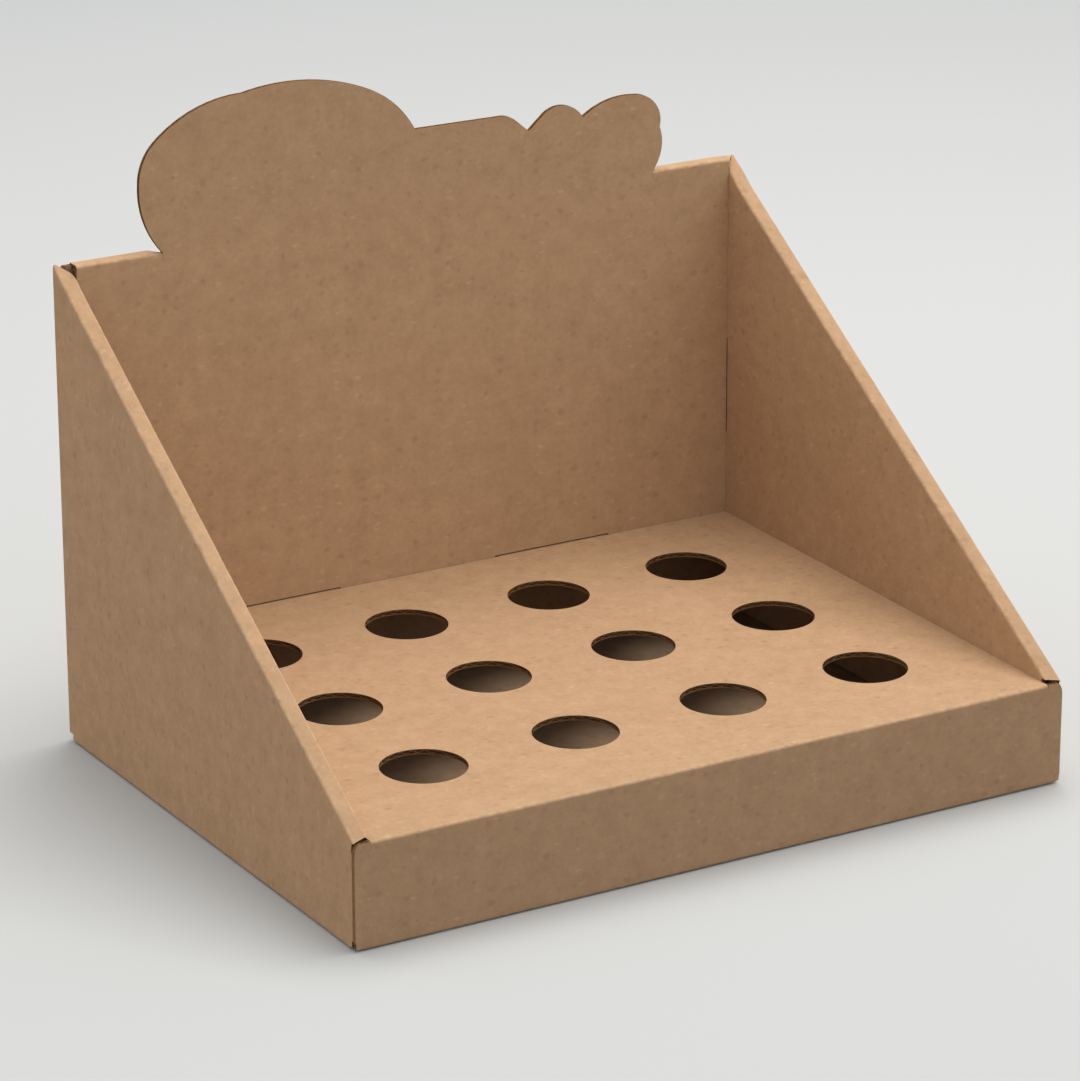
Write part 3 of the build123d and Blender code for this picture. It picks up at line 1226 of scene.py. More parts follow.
    def inner(self) -> Panel:
        """Inner back panel, which carries on upwards as the header.

        Returns:
            The panel.
        """
        shell = self.shell
        foot, top = shell.foot, shell.back_height
        left, right = self.die_line.left, self.die_line.right
        line = Outline(-shell.snug_x, foot)
        line.line(shell.snug_x, foot, Edge.PLAIN)
        line.line(shell.snug_x, self.fold_z, Edge.PLAIN)
        line.line(shell.core_x, self.fold_z, Edge.PLAIN)
        line.line(right + self.root_gap, self.fold_z, Edge.FOLD, self.roll_count)
        line.line(right, self.fold_z, Edge.PLAIN)
        line.line(right, top, Edge.FLUTED)
        line.through([Vector((s.x, top + s.y)) for s in reversed(self.spots[:-1])], Edge.FLUTED)
        line.line(left, self.fold_z, Edge.FLUTED)
        line.line(left - self.root_gap, self.fold_z, Edge.PLAIN)
        line.line(-shell.core_x, self.fold_z, Edge.FOLD, self.roll_count)
        line.line(-shell.snug_x, self.fold_z, Edge.PLAIN)
        line.line(-shell.snug_x, foot, Edge.PLAIN)
        loops = [line.closed()]
        half = self.tray.tab_width / 2 + self.slot_end_gap
        for middle in (-self.tray.tab_centre, self.tray.tab_centre):
            low, high = (middle - half, self.slot_low), (middle + half, self.slot_high)
            loops.append(Outline.slot(low, high, Edge.FLUTED))
        start = shell.rear_y + 2 * shell.back_height + shell.wall
        return Panel(
            Vector((0, shell.inner_back_y, 0)), X_AXIS, Z_AXIS, -Y_AXIS,
            lambda x, z: (x, start - z), loops,
        )

    def corner_fold(self, hand: Hand) -> Bend:
        """Crease between the outer back panel and a corner flap.

        Args:
            hand: Side of the box.

        Returns:
            The bend.
        """
        shell, sign = self.shell, hand.value
        path = [
            Vector((sign * self.panel_x, shell.rear_y, 0)),
            Vector((sign * self.flap_x, shell.rear_y, 0)),
            Vector((sign * self.flap_x, shell.rear_y - shell.bend_arm, 0)),
        ]
        return Bend(
            path, Y_AXIS, Z_AXIS, self.flap_fold_count,
            level(shell.bend_arm), partial(self.corner_top, hand),
            lambda reach, z: (sign * (self.panel_x + reach), shell.rear_y + z), openings=(0.0, 0.0),
        )

    def corner_flap(self, hand: Hand) -> Panel:
        """Flap of the outer back panel between the layers of a side wall.

        Args:
            hand: Side of the box.

        Returns:
            The panel.
        """
        shell, sign = self.shell, hand.value
        rear = shell.rear_y - shell.bend_arm
        front = shell.rear_y - self.corner_flap_length
        low = shell.bend_arm
        line = Outline(front, low)
        line.line(rear, low, Edge.PLAIN)
        line.line(rear, self.flap_top(rear), Edge.FOLD, self.flap_fold_count)
        line.line(front, self.flap_top(front), Edge.PLAIN)
        line.line(front, low, Edge.PLAIN)
        return Panel(
            Vector((sign * self.flap_x, 0, 0)), Y_AXIS, Z_AXIS, X_AXIS * sign,
            lambda y, z: (sign * (self.flap_x + shell.rear_y - y), shell.rear_y + z),
            [line.closed()],
        )


@dataclass
class SideWall:
    """Outer panel, rolled slope, inner panel and the flaps of one side of the box."""

    shell: Shell
    tray: Tray
    hand: Hand
    front_radius: float = 0.4
    front_flap_length: float = 35.0
    front_flap_top: float = 29.1
    finger: float = 0.2
    rear_flap_length: float = 40.0
    rear_flap_drop: float = 14.0
    rear_flap_y: float = 89.2
    rear_flap_arm: float = 1.95
    inner_rear_y: float = 88.2
    inner_front_y: float = -87.3
    roll_front_y: float = -90.6
    roll_front_inner_y: float = -89.3
    roll_undercut: float = 1.9
    slit_low: Flat = (85.45, 60.5)
    slit_high: Flat = (86.9, 92.0)
    slope_count: int = 86
    flap_fold_count: int = 11
    rear_fold_count: int = 54

    def __post_init__(self) -> None:
        """Works out the front edge, the flaps' heights and the hidden face of the inner panel."""
        shell = self.shell
        self.sign = self.hand.value
        self.front_y = shell.front_y + shell.board.thickness + shell.fit_gap
        self.foot_front_y = self.front_y + self.front_radius
        self.rear_flap_top = shell.back_height - self.rear_flap_drop
        self.hidden_x = shell.inner_x + shell.board.thickness
        self.panel_low = shell.bend_arm
        self.flap_low = self.panel_low + self.finger + shell.snug_gap

    def add_to(self, sheet: Sheet) -> None:
        """Adds the side wall's panels and creases.

        Args:
            sheet: Sheet that takes them.
        """
        parts = [
            self.foot_fold(), self.outer(), self.slope_roll(), self.inner(),
            self.front_fold(), self.front_flap(), self.rear_fold(), self.rear_flap(),
        ]
        for part in parts:
            part.add_to(sheet)

    def unfold_outer(self, y: float, z: float) -> Flat:
        """Place of the outer panel on the blank."""
        return self.sign * (self.shell.side_x + z), y

    def unfold_inner(self, y: float, z: float) -> Flat:
        """Place of the inner panel on the blank, which mirrors it in the slope.

        Args:
            y: Depth on the folded box.
            z: Height on the folded box.

        Returns:
            Place on the blank.
        """
        shell = self.shell
        sine, cosine = math.sin(shell.slope), math.cos(shell.slope)
        y -= shell.rear_y
        z -= shell.back_height
        away = -y * cosine - z * sine
        beyond = shell.wall + y * sine - z * cosine
        return self.unfold_outer(
            shell.rear_y - away * cosine - beyond * sine,
            shell.back_height - away * sine + beyond * cosine,
        )

    def on_slope(self, away: float, drop: float) -> Flat:
        """Depth and height of a point on the side wall.

        Args:
            away: Distance down the slope from its rear end.
            drop: Distance below the slope.

        Returns:
            Depth and height.
        """
        shell = self.shell
        sine, cosine = math.sin(shell.slope), math.cos(shell.slope)
        return (
            shell.rear_y - away * cosine + drop * sine,
            shell.back_height - away * sine - drop * cosine,
        )

    def away_at(self, y: float, drop: float) -> float:
        """Distance down the slope at which a line a drop below it passes a depth."""
        shell = self.shell
        return (shell.rear_y - y + drop * math.sin(shell.slope)) / math.cos(shell.slope)

    def foot_fold(self) -> Bend:
        """Crease between the base and the outer panel.

        Returns:
            The bend.
        """
        shell, tray = self.shell, self.tray
        path = [
            Vector((self.sign * tray.base_x, 0, 0)),
            Vector((self.sign * shell.side_x, 0, 0)),
            Vector((self.sign * shell.side_x, 0, shell.bend_arm)),
        ]

        def begin(reach: float) -> float:
            """Front end of a row, which runs to the front corner once the crease has turned up."""
            return blend(tray.side_fold_front_y, self.foot_front_y, shell.past_corner(reach))

        return Bend(
            path, -Z_AXIS, Y_AXIS, tray.side_fold_count, begin, level(tray.base_rear_y),
            lambda reach, y: (self.sign * (tray.base_x + reach), y),
        )

    def outer(self) -> Panel:
        """Outer side panel.

        Returns:
            The panel.
        """
        shell, tray = self.shell, self.tray
        arm = shell.bend_arm
        low = self.panel_low
        fold_y = self.front_y + arm
        step_z = self.front_flap_top + shell.snug_gap
        front = self.on_slope(self.roll_stop(0.0), arm)
        rear = self.on_slope(self.roll_start(0.0), arm)
        line = Outline(self.foot_front_y, low)
        line.line(tray.base_rear_y, low, Edge.FOLD, tray.side_fold_count)
        line.line(shell.rear_y, low, Edge.PLAIN)
        line.line(*rear, Edge.FLUTED)
        line.line(*front, Edge.FOLD, self.slope_count)
        line.line(self.front_y, step_z, Edge.FLUTED)
        line.line(fold_y, step_z, Edge.PLAIN)
        line.line(fold_y, self.front_flap_top, Edge.PLAIN)
        line.line(fold_y, self.flap_low, Edge.FOLD, self.flap_fold_count)
        line.line(fold_y, low + self.finger, Edge.PLAIN)
        line.line(self.foot_front_y, low + self.finger, Edge.PLAIN)
        line.line(self.foot_front_y, low, Edge.PLAIN)
        return Panel(
            Vector((self.sign * shell.side_x, 0, 0)), Y_AXIS, Z_AXIS, X_AXIS * self.sign,
            self.unfold_outer, [line.closed()],
        )

    def roll_start(self, reach: float) -> float:
        """Rear end of the roll's rows: flush with the back outside, cut away in a mitre inside.

        Args:
            reach: Distance of the row from the outer panel.

        Returns:
            Distance down the slope.
        """
        shell = self.shell
        arm = shell.bend_arm
        if reach < arm:
            return (arm - reach) * math.tan(shell.slope)
        return (shell.rear_y - shell.mitre_y(shell.side_x + arm - reach)) / math.cos(shell.slope)

    def roll_stop(self, reach: float) -> float:
        """Front end of the roll's rows, over the ear.

        Args:
            reach: Distance of the row from the outer panel.

        Returns:
            Distance down the slope.
        """
        shell = self.shell
        arm, wall = shell.bend_arm, shell.wall
        outside, inside = self.roll_front_y, self.roll_front_inner_y
        if reach < arm:
            lead = max(0.0, 2 * reach / arm - 1)
            return self.away_at(blend(self.front_y, outside, lead), arm - reach)
        if reach < arm + wall:
            return self.away_at(blend(outside, inside, (reach - arm) / wall), 0.0)
        under = reach - arm - wall
        lead = max(0.0, 1 - 2 * under / arm)
        return self.away_at(blend(self.inner_front_y, inside, lead), under)

    def roll_undercut_at(self, reach: float) -> float:
        """How far the underside of the roll's front end stands back from its top.

        Args:
            reach: Distance of the row from the first panel.

        Returns:
            Distance along the slope.
        """
        arm, wall = self.shell.bend_arm, self.shell.wall
        from_panel = min(reach, 2 * arm + wall - reach)
        return self.roll_undercut * clamped(2 * from_panel / arm - 1)

    def slope_roll(self) -> Bend:
        """Rolled top of the side wall, over both of its panels.

        Returns:
            The bend.
        """
        shell = self.shell
        arm = shell.bend_arm
        run = Vector((0, -math.cos(shell.slope), -math.sin(shell.slope)))
        under = self.on_slope(0.0, arm)
        top = (shell.rear_y, shell.back_height)
        path = [
            Vector((self.sign * shell.side_x, *under)),
            Vector((self.sign * shell.side_x, *top)),
            Vector((self.sign * shell.inner_x, *top)),
            Vector((self.sign * shell.inner_x, *under)),
        ]

        def unfold(reach: float, away: float) -> Flat:
            """Place of the roll on the blank, beyond the outer panel."""
            y, z = self.on_slope(away, arm - reach)
            return self.unfold_outer(y, z)

        return Bend(
            path, X_AXIS * self.sign, run, self.slope_count, self.roll_start, self.roll_stop,
            unfold, self.roll_undercut_at, openings=(0.0, 1.0),
        )

    def inner(self) -> Panel:
        """Inner side panel, with the slit that takes a tab of the inner back panel.

        Returns:
            The panel.
        """
        shell = self.shell
        arm = shell.bend_arm
        last = 2 * arm + shell.wall
        fold_y = self.rear_flap_y - self.rear_flap_arm
        rear = self.on_slope(self.roll_start(last), arm)
        front = self.on_slope(self.roll_stop(last), arm)
        line = Outline(self.inner_front_y, shell.foot)
        line.line(fold_y, shell.foot, Edge.PLAIN)
        line.line(fold_y, self.rear_flap_top, Edge.FOLD, self.rear_fold_count)
        line.line(self.inner_rear_y, self.rear_flap_top + shell.edge_gap, Edge.PLAIN)
        line.line(self.inner_rear_y, shell.slope_height(self.inner_rear_y, arm), Edge.PLAIN)
        line.line(*rear, Edge.PLAIN)
        line.line(*front, Edge.FOLD, self.slope_count)
        line.line(self.inner_front_y, shell.foot, Edge.PLAIN)
        slit = Outline.slot(self.slit_low, self.slit_high, Edge.FLUTED)
        return Panel(
            Vector((self.sign * shell.inner_x, 0, 0)), Y_AXIS, Z_AXIS, X_AXIS * -self.sign,
            self.unfold_inner, [line.closed(), slit],
        )

    def front_fold(self) -> Bend:
        """Crease between the outer panel and the front flap.

        Returns:
            The bend.
        """
        shell = self.shell
        path = [
            Vector((self.sign * shell.side_x, self.front_y + shell.bend_arm, 0)),
            Vector((self.sign * shell.side_x, self.front_y, 0)),
            Vector((self.sign * (shell.side_x - shell.bend_arm), self.front_y, 0)),
        ]
        return Bend(
            path, X_AXIS * self.sign, Z_AXIS, self.flap_fold_count,
            level(self.flap_low), level(self.front_flap_top),
            lambda reach, z: self.unfold_outer(self.front_y + shell.bend_arm - reach, z),
            radius=self.front_radius,
        )

    def front_flap(self) -> Panel:
        """Flap behind the front panel.

        Returns:
            The panel.
        """
        shell = self.shell
        far, near = shell.side_x - shell.bend_arm, shell.side_x - self.front_flap_length
        line = Outline(near, self.flap_low)
        line.line(far, self.flap_low, Edge.PLAIN)
        line.line(far, self.front_flap_top, Edge.FOLD, self.flap_fold_count)
        line.line(near, self.front_flap_top, Edge.PLAIN)
        line.line(near, self.flap_low, Edge.PLAIN)
        return Panel(
            Vector((0, self.front_y, 0)), X_AXIS * self.sign, Z_AXIS, -Y_AXIS,
            lambda x, z: self.unfold_outer(self.front_y - (shell.side_x - x), z), [line.closed()],
        )

    def rear_fold(self) -> Bend:
        """Crease between the inner panel and the rear flap.

        Returns:
            The bend.
        """
        arm = self.rear_flap_arm
        path = [
            Vector((self.sign * self.hidden_x, self.rear_flap_y - arm, 0)),
            Vector((self.sign * self.hidden_x, self.rear_flap_y, 0)),
            Vector((self.sign * (self.hidden_x - arm), self.rear_flap_y, 0)),
        ]
        return Bend(
            path, X_AXIS * self.sign, Z_AXIS, self.rear_fold_count,
            level(self.shell.foot), level(self.rear_flap_top),
            lambda reach, z: self.unfold_inner(self.rear_flap_y - arm + reach, z), inside_out=True,
        )

    def rear_flap(self) -> Panel:
        """Flap between the layers of the back wall.

        Returns:
            The panel.
        """
        shell = self.shell
        far, near = self.hidden_x - self.rear_flap_arm, self.hidden_x - self.rear_flap_length
        line = Outline(near, shell.foot)
        line.line(far, shell.foot, Edge.PLAIN)
        line.line(far, self.rear_flap_top, Edge.FOLD, self.rear_fold_count)
        line.line(near, self.rear_flap_top, Edge.FLUTED)
        line.line(near, shell.foot, Edge.FLUTED)
        return Panel(
            Vector((0, self.rear_flap_y, 0)), X_AXIS * self.sign, Z_AXIS, Y_AXIS,
            lambda x, z: self.unfold_inner(self.rear_flap_y + self.hidden_x - x, z),
            [line.closed()], inside_out=True,
        )


class NodeBench:
    """Small helper that adds and links shader nodes in one tree."""

    MIX_INPUTS = (0, 6, 7)
    MIX_RESULT = 2

    def __init__(self, tree: bpy.types.NodeTree) -> None:
        """Works on this tree."""
        self.tree = tree

    def add(self, kind: str, **settings: object) -> bpy.types.Node:
        """Adds a node.

        Args:
            kind: Type of the node, without its ShaderNode prefix.
            settings: Values for its properties.

        Returns:
            The node.
        """
        prefix = "" if kind.startswith("NodeGroup") else "ShaderNode"
        node = self.tree.nodes.new(prefix + kind)
        for name, value in settings.items():
            setattr(node, name, value)
        return node

    def feed(self, socket: Socket, source: object) -> None:
        """Links a socket to another one, or sets its value.

        Args:
            socket: Input to feed.
            source: Socket or value.
        """
        if isinstance(source, Socket):
            self.tree.links.new(source, socket)
        else:
            socket.default_value = source

    def math(self, operation: str, *sources: object, kind: str = "Math") -> Socket:
        """Result of a sum.

        Args:
            operation: Name of the sum.
            sources: Sockets or values that it takes.
            kind: Type of the node, for numbers or for vectors.

        Returns:
            The result's socket.
        """
        node = self.add(kind, operation=operation)
        for socket, source in zip(node.inputs, sources):
            self.feed(socket, source)
        return node.outputs[0]

    def vector(self, operation: str, *sources: object) -> Socket:
        """Result of a sum on vectors."""
        return self.math(operation, *sources, kind="VectorMath")

    def span(
        self, value: object, low: object, high: object,
        to_low: float = 0.0, to_high: float = 1.0, smooth: bool = True,
    ) -> Socket:
        """Maps a value from one range to another, clamped.

        Args:
            value: Socket or number to map.
            low: Start of its range.
            high: End of its range.
            to_low: Result at the start.
            to_high: Result at the end.
            smooth: Whether the ends are eased.

        Returns:
            The result's socket.
        """
        node = self.add("MapRange", interpolation_type="SMOOTHSTEP" if smooth else "LINEAR")
        for socket, source in zip(node.inputs, (value, low, high, to_low, to_high)):
            self.feed(socket, source)
        return node.outputs[0]

    def noise(
        self, vector: object, scale: float, detail: float = 2.0, rough: float = 0.5,
    ) -> Socket:
        """Noise value from 0 to 1.

        Args:
            vector: Socket of the coordinates.
            scale: Cells per unit.
            detail: Number of finer layers.
            rough: Strength of the finer layers.

        Returns:
            The value's socket.
        """
        node = self.add("TexNoise")
        sources = {"Vector": vector, "Scale": scale, "Detail": detail, "Roughness": rough}
        for label, source in sources.items():
            self.feed(node.inputs[label], source)
        return node.outputs["Fac"]

    def mix(self, share: object, first: object, second: object) -> Socket:
        """Mix of two colours.

        Args:
            share: Socket or number, 0 for the first colour.
            first: Socket or colour.
            second: Socket or colour.

        Returns:
            The result's socket.
        """
        node = self.add("Mix", data_type="RGBA")
        for k, source in zip(self.MIX_INPUTS, (share, first, second)):
            self.feed(node.inputs[k], (*source, 1.0) if isinstance(source, tuple) else source)
        return node.outputs[self.MIX_RESULT]


class Effect:
    """Shader node group that several finishes share."""

    name = "effect"
    inputs: dict[str, float] = {}
    outputs: tuple[str, ...] = ()

    @classmethod
    def tree(cls) -> bpy.types.NodeTree:
        """The group's node tree, built the first time it is asked for.

        Returns:
            The tree.
        """
        found = bpy.data.node_groups.get(cls.name)
        if found:
            return found
        tree = bpy.data.node_groups.new(cls.name, "ShaderNodeTree")
        tree.interface.new_socket("Blank", in_out="INPUT", socket_type="NodeSocketVector")
        for label, value in cls.inputs.items():
            socket = tree.interface.new_socket(label, in_out="INPUT", socket_type="NodeSocketFloat")
            socket.default_value = value
        for label in cls.outputs:
            tree.interface.new_socket(label, in_out="OUTPUT", socket_type="NodeSocketFloat")
        bench = NodeBench(tree)
        source, sink = bench.add("NodeGroupInput"), bench.add("NodeGroupOutput")
        for label, result in cls.wire(bench, source.outputs).items():
            bench.feed(sink.inputs[label], result)
        return tree

    @classmethod
    def wire(cls, bench: NodeBench, given: bpy.types.NodeOutputs) -> dict[str, Socket]:
        """Wires the group's tree from what it is given to its outputs, by their names."""
        raise NotImplementedError

    @classmethod
    def place(cls, bench: NodeBench, blank: Socket, **values: float) -> bpy.types.NodeOutputs:
        """Puts the group into a material.

        Args:
            bench: Bench of the material.
            blank: Socket of the blank's coordinates.
            values: Values for the group's inputs.

        Returns:
            The outputs of the group's node.
        """
        node = bench.add("Group", node_tree=cls.tree())
        for label, source in {"Blank": blank, **values}.items():
            bench.feed(node.inputs[label], source)
        return node.outputs


class Pulp(Effect):
    """Uneven brown of recycled pulp: clouds, mottling, fine grain and short curved fibres.

    A noise is given as its cells per millimetre, its finer layers and their strength; a kind of
    fibre as its bends per millimetre and its width, as a share of the noise that it follows.
    """

    MIDDLE = 0.5
    CLOUDS = (0.045, 3.0, 0.6)
    MOTTLE = (0.17, 1.0)
    FINE_MOTTLE = (0.6, 2.0, 0.6)
    GRAIN = (2.0, 3.0, 0.7)
    LIGHT_FIBRE = (0.8, 0.035)
    DARK_FIBRE = (0.55, 0.022)
    FIBRE_BREAKS = (0.48, 0.6)
    FIBRE_HEIGHT = 0.4
    FLIP_X = (-1.0, 1.0, 1.0)
    FLIP_Y = (1.0, -1.0, 1.0)

    name = "pulp"
    inputs = {"Clouds": 0.3, "Mottle": 0.3, "Grain": 0.3, "Fibres": 0.3}
    outputs = ("Tone", "Height")

    @classmethod
    def fibres(cls, bench: NodeBench, blank: Socket, scale: float, width: float) -> Socket:
        """Mask of short curved fibres.

        Args:
            bench: Bench of the group.
            blank: Socket of the coordinates.
            scale: Bends of the fibres per millimetre.
            width: Width of a fibre, as a share of the noise it follows.

        Returns:
            The mask's socket.
        """
        ridge = bench.math("SUBTRACT", bench.noise(blank, scale, 0.0), cls.MIDDLE)
        flipped = bench.vector("MULTIPLY", blank, cls.FLIP_X)
        broken = bench.span(bench.noise(flipped, scale, 1.0), *cls.FIBRE_BREAKS)
        return bench.math("MULTIPLY", bench.span(bench.math("ABSOLUTE", ridge), width, 0.0), broken)

    @classmethod
    def wire(cls, bench: NodeBench, given: bpy.types.NodeOutputs) -> dict[str, Socket]:
        """Adds up the layers round a middle tone.

        Args:
            bench: Bench of the group.
            given: Outputs of the group's input node.

        Returns:
            The tone and the height.
        """
        blank = given["Blank"]
        light = cls.fibres(bench, blank, *cls.LIGHT_FIBRE)
        dark = cls.fibres(bench, bench.vector("MULTIPLY", blank, cls.FLIP_Y), *cls.DARK_FIBRE)
        mottle = bench.noise(blank, *cls.MOTTLE)
        mottle = bench.math("ADD", mottle, bench.noise(blank, *cls.FINE_MOTTLE))
        layers = {
            "Clouds": bench.math("SUBTRACT", bench.noise(blank, *cls.CLOUDS), cls.MIDDLE),
            "Mottle": bench.math("SUBTRACT", mottle, 2 * cls.MIDDLE),
            "Grain": bench.math("SUBTRACT", bench.noise(blank, *cls.GRAIN), cls.MIDDLE),
            "Fibres": bench.math("SUBTRACT", light, dark),
        }
        tone: object = cls.MIDDLE
        for label, layer in layers.items():
            tone = bench.math("MULTIPLY_ADD", layer, given[label], tone)
        height = bench.math("MULTIPLY_ADD", light, cls.FIBRE_HEIGHT, layers["Grain"])
        return {"Tone": tone, "Height": height}


class Flecks(Effect):
    """Sparse specks and slivers, each of its own size."""

    WARP_SCALE = 0.9
    WARP = (1.6, 1.6, 0.0)
    SIZE_POWER = 2.0
    CORE = 0.4

    name = "flecks"
    inputs = {"Spacing": 5.0, "Size": 0.3, "Length": 1.0}
    outputs = ("Mask",)

    @classmethod
    def wire(cls, bench: NodeBench, given: bpy.types.NodeOutputs) -> dict[str, Socket]:
        """Draws a worn spot round each point of a scattered grid.

        Args:
            bench: Bench of the group.
            given: Outputs of the group's input node.

        Returns:
            The mask.
        """
        blank, spacing = given["Blank"], given["Spacing"]
        warp = bench.noise(blank, cls.WARP_SCALE).node.outputs["Color"]
        squeeze = bench.add("CombineXYZ")
        bench.feed(squeeze.inputs[0], bench.math("DIVIDE", 1.0, given["Length"]))
        bench.feed(squeeze.inputs[1], 1.0)
        shifted = bench.vector("MULTIPLY_ADD", warp, cls.WARP, blank)
        cells = bench.add("TexVoronoi", voronoi_dimensions="2D")
        bench.feed(cells.inputs["Vector"], bench.vector("MULTIPLY", shifted, squeeze.outputs[0]))
        bench.feed(cells.inputs["Scale"], bench.math("DIVIDE", 1.0, spacing))
        away = bench.math("MULTIPLY", cells.outputs["Distance"], spacing)
        chance = bench.add("SeparateColor")
        bench.feed(chance.inputs[0], cells.outputs["Color"])
        share = bench.math("POWER", chance.outputs[0], cls.SIZE_POWER)
        reach = bench.math("MULTIPLY", share, given["Size"])
        mask = bench.span(away, reach, bench.math("MULTIPLY", reach, cls.CORE))
        return {"Mask": bench.math("MULTIPLY", mask, chance.outputs[1])}


class FluteRibs(Effect):
    """Faint washboard that the flutes press into a liner."""

    PATCHES = (0.06, 2.0)
    PATCH_RANGE = (0.3, 0.7)

    name = "flute_ribs"
    inputs = {"Pitch": 3.4}
    outputs = ("Height",)

    @classmethod
    def wire(cls, bench: NodeBench, given: bpy.types.NodeOutputs) -> dict[str, Socket]:
        """Makes a wave across the flutes, uneven along them.

        Args:
            bench: Bench of the group.
            given: Outputs of the group's input node.

        Returns:
            The height.
        """
        place = bench.add("SeparateXYZ")
        bench.feed(place.inputs[0], given["Blank"])
        turns = bench.math("DIVIDE", place.outputs[0], given["Pitch"])
        wave = bench.math("SINE", bench.math("MULTIPLY", turns, 2 * math.pi))
        patchy = bench.span(bench.noise(given["Blank"], *cls.PATCHES), *cls.PATCH_RANGE)
        return {"Height": bench.math("MULTIPLY", wave, patchy)}


class Paint:
    """New material, with a bench to wire it on."""

    def __init__(self, name: str) -> None:
        """Makes the material.

        Args:
            name: Name of the material.
        """
        self.material = bpy.data.materials.new(name)
        self.material.use_nodes = True
        self.bench = NodeBench(self.material.node_tree)

    def finished(self, sources: dict[str, object]) -> bpy.types.Material:
        """Feeds the shader.

        Args:
            sources: Sockets or values for the shader's inputs, by their names.

        Returns:
            The material.
        """
        shader = self.material.node_tree.nodes["Principled BSDF"]
        for label, source in sources.items():
            self.bench.feed(shader.inputs[label], source)
        return self.material


@dataclass(frozen=True)
class Paper:
    """Brown paper of the board, from a dark tone of its pulp to a light one."""

    name: str
    dark: Colour
    light: Colour
    clouds: float
    mottle: float
    grain: float
    fibres: float
    roughness: Flat
    specular: float
    bump_strength: float
    bump_distance: float = 0.0001
    tone_range: Flat = (0.2, 0.8)

    def material(self) -> bpy.types.Material:
        """Builds the finish.

        Returns:
            The material.
        """
        paint = Paint(self.name)
        bench = paint.bench
        blank = bench.add("Attribute", attribute_name="blank").outputs["Vector"]
        pulp = Pulp.place(
            bench, blank,
            Clouds=self.clouds, Mottle=self.mottle, Grain=self.grain, Fibres=self.fibres,
        )
        tone = pulp["Tone"]
        bump = bench.add("Bump")
        bench.feed(bump.inputs["Strength"], self.bump_strength)
        bench.feed(bump.inputs["Distance"], self.bump_distance)
        bench.feed(bump.inputs["Height"], self.relief(bench, blank, pulp["Height"]))
        return paint.finished({
            "Base Color": self.colour(bench, blank, bench.mix(tone, self.dark, self.light)),
            "Roughness": bench.span(tone, *self.tone_range, *self.roughness),
            "Specular IOR Level": self.specular,
            "Normal": bump.outputs[0],
        })

    def colour(self, bench: NodeBench, blank: Socket, ground: Socket) -> Socket:
        """Colour of the finish, here that of its pulp."""
        return ground

    def relief(self, bench: NodeBench, blank: Socket, ground: Socket) -> Socket:
        """Relief of the finish, here that of its pulp."""
        return ground


@dataclass(frozen=True)
class Liner(Paper):
    """Paper face of the board, with flecks, crease crests lightened (partly rubbed wear, partly
    painted highlight) and the flutes showing through.
    """

    name: str = "kraft_liner"
    dark: Colour = (0.382, 0.236, 0.133)
    light: Colour = (0.569, 0.371, 0.226)
    clouds: float = 0.4
    mottle: float = 0.55
    grain: float = 0.4
    fibres: float = 0.17
    roughness: Flat = (0.95, 0.8)
    specular: float = 0.2
    bump_strength: float = 0.25
    speck: Colour = (0.25, 0.14, 0.075)
    speck_spacing: float = 3.4
    speck_size: float = 1.4
    speck_length: float = 1.3
    speck_share: float = 0.28
    hair: Colour = (0.85, 0.63, 0.43)
    hair_spacing: float = 3.0
    hair_size: float = 0.8
    hair_length: float = 2.2
    hair_share: float = 0.16
    # Lighter tone on the crease crests: partly rubbed wear, partly painted highlight.
    worn_and_highlight: Colour = (0.80, 0.55, 0.36)
    worn_and_highlight_noise: tuple[float, float, float] = (0.35, 3.0, 0.6)
    worn_and_highlight_range: Flat = (0.35, 0.7)
    worn_and_highlight_share: float = 0.35
    flute_pitch: float = 3.4
    flute_height: float = 0.25
    pulp_height: float = 0.5

    def colour(self, bench: NodeBench, blank: Socket, ground: Socket) -> Socket:
        """Colour of the finish: pale hairs and dark specks, and the crests of the creases
        lightened, partly as rubbed wear and partly as a painted highlight.

        Args:
            bench: Bench of the material.
            blank: Socket of the blank's coordinates.
            ground: Colour of the pulp.

        Returns:
            The colour's socket.
        """
        crease = bench.add("Attribute", attribute_name="crease").outputs["Fac"]
        hairs = Flecks.place(
            bench, blank,
            Spacing=self.hair_spacing, Size=self.hair_size, Length=self.hair_length,
        )
        specks = Flecks.place(
            bench, blank,
            Spacing=self.speck_spacing, Size=self.speck_size, Length=self.speck_length,
        )
        worn_and_highlight = bench.span(bench.noise(blank, *self.worn_and_highlight_noise), *self.worn_and_highlight_range)
        layers = (
            (hairs["Mask"], self.hair_share, self.hair),
            (specks["Mask"], self.speck_share, self.speck),
            # Crease crests lightened: partly rubbed wear, partly painted highlight.
            (bench.math("MULTIPLY", crease, worn_and_highlight), self.worn_and_highlight_share, self.worn_and_highlight),
        )
        for mask, share, over in layers:
            ground = bench.mix(bench.math("MULTIPLY", mask, share), ground, over)
        return ground

    def relief(self, bench: NodeBench, blank: Socket, ground: Socket) -> Socket:
        """Relief of the finish: the pulp over the washboard of the flutes.

        Args:
            bench: Bench of the material.
            blank: Socket of the blank's coordinates.
            ground: Relief of the pulp.

        Returns:
            The relief's socket.
        """
        ribs = FluteRibs.place(bench, blank, Pitch=self.flute_pitch)
        pulp = bench.math("MULTIPLY", ground, self.pulp_height)
        return bench.math("MULTIPLY_ADD", ribs["Height"], self.flute_height, pulp)


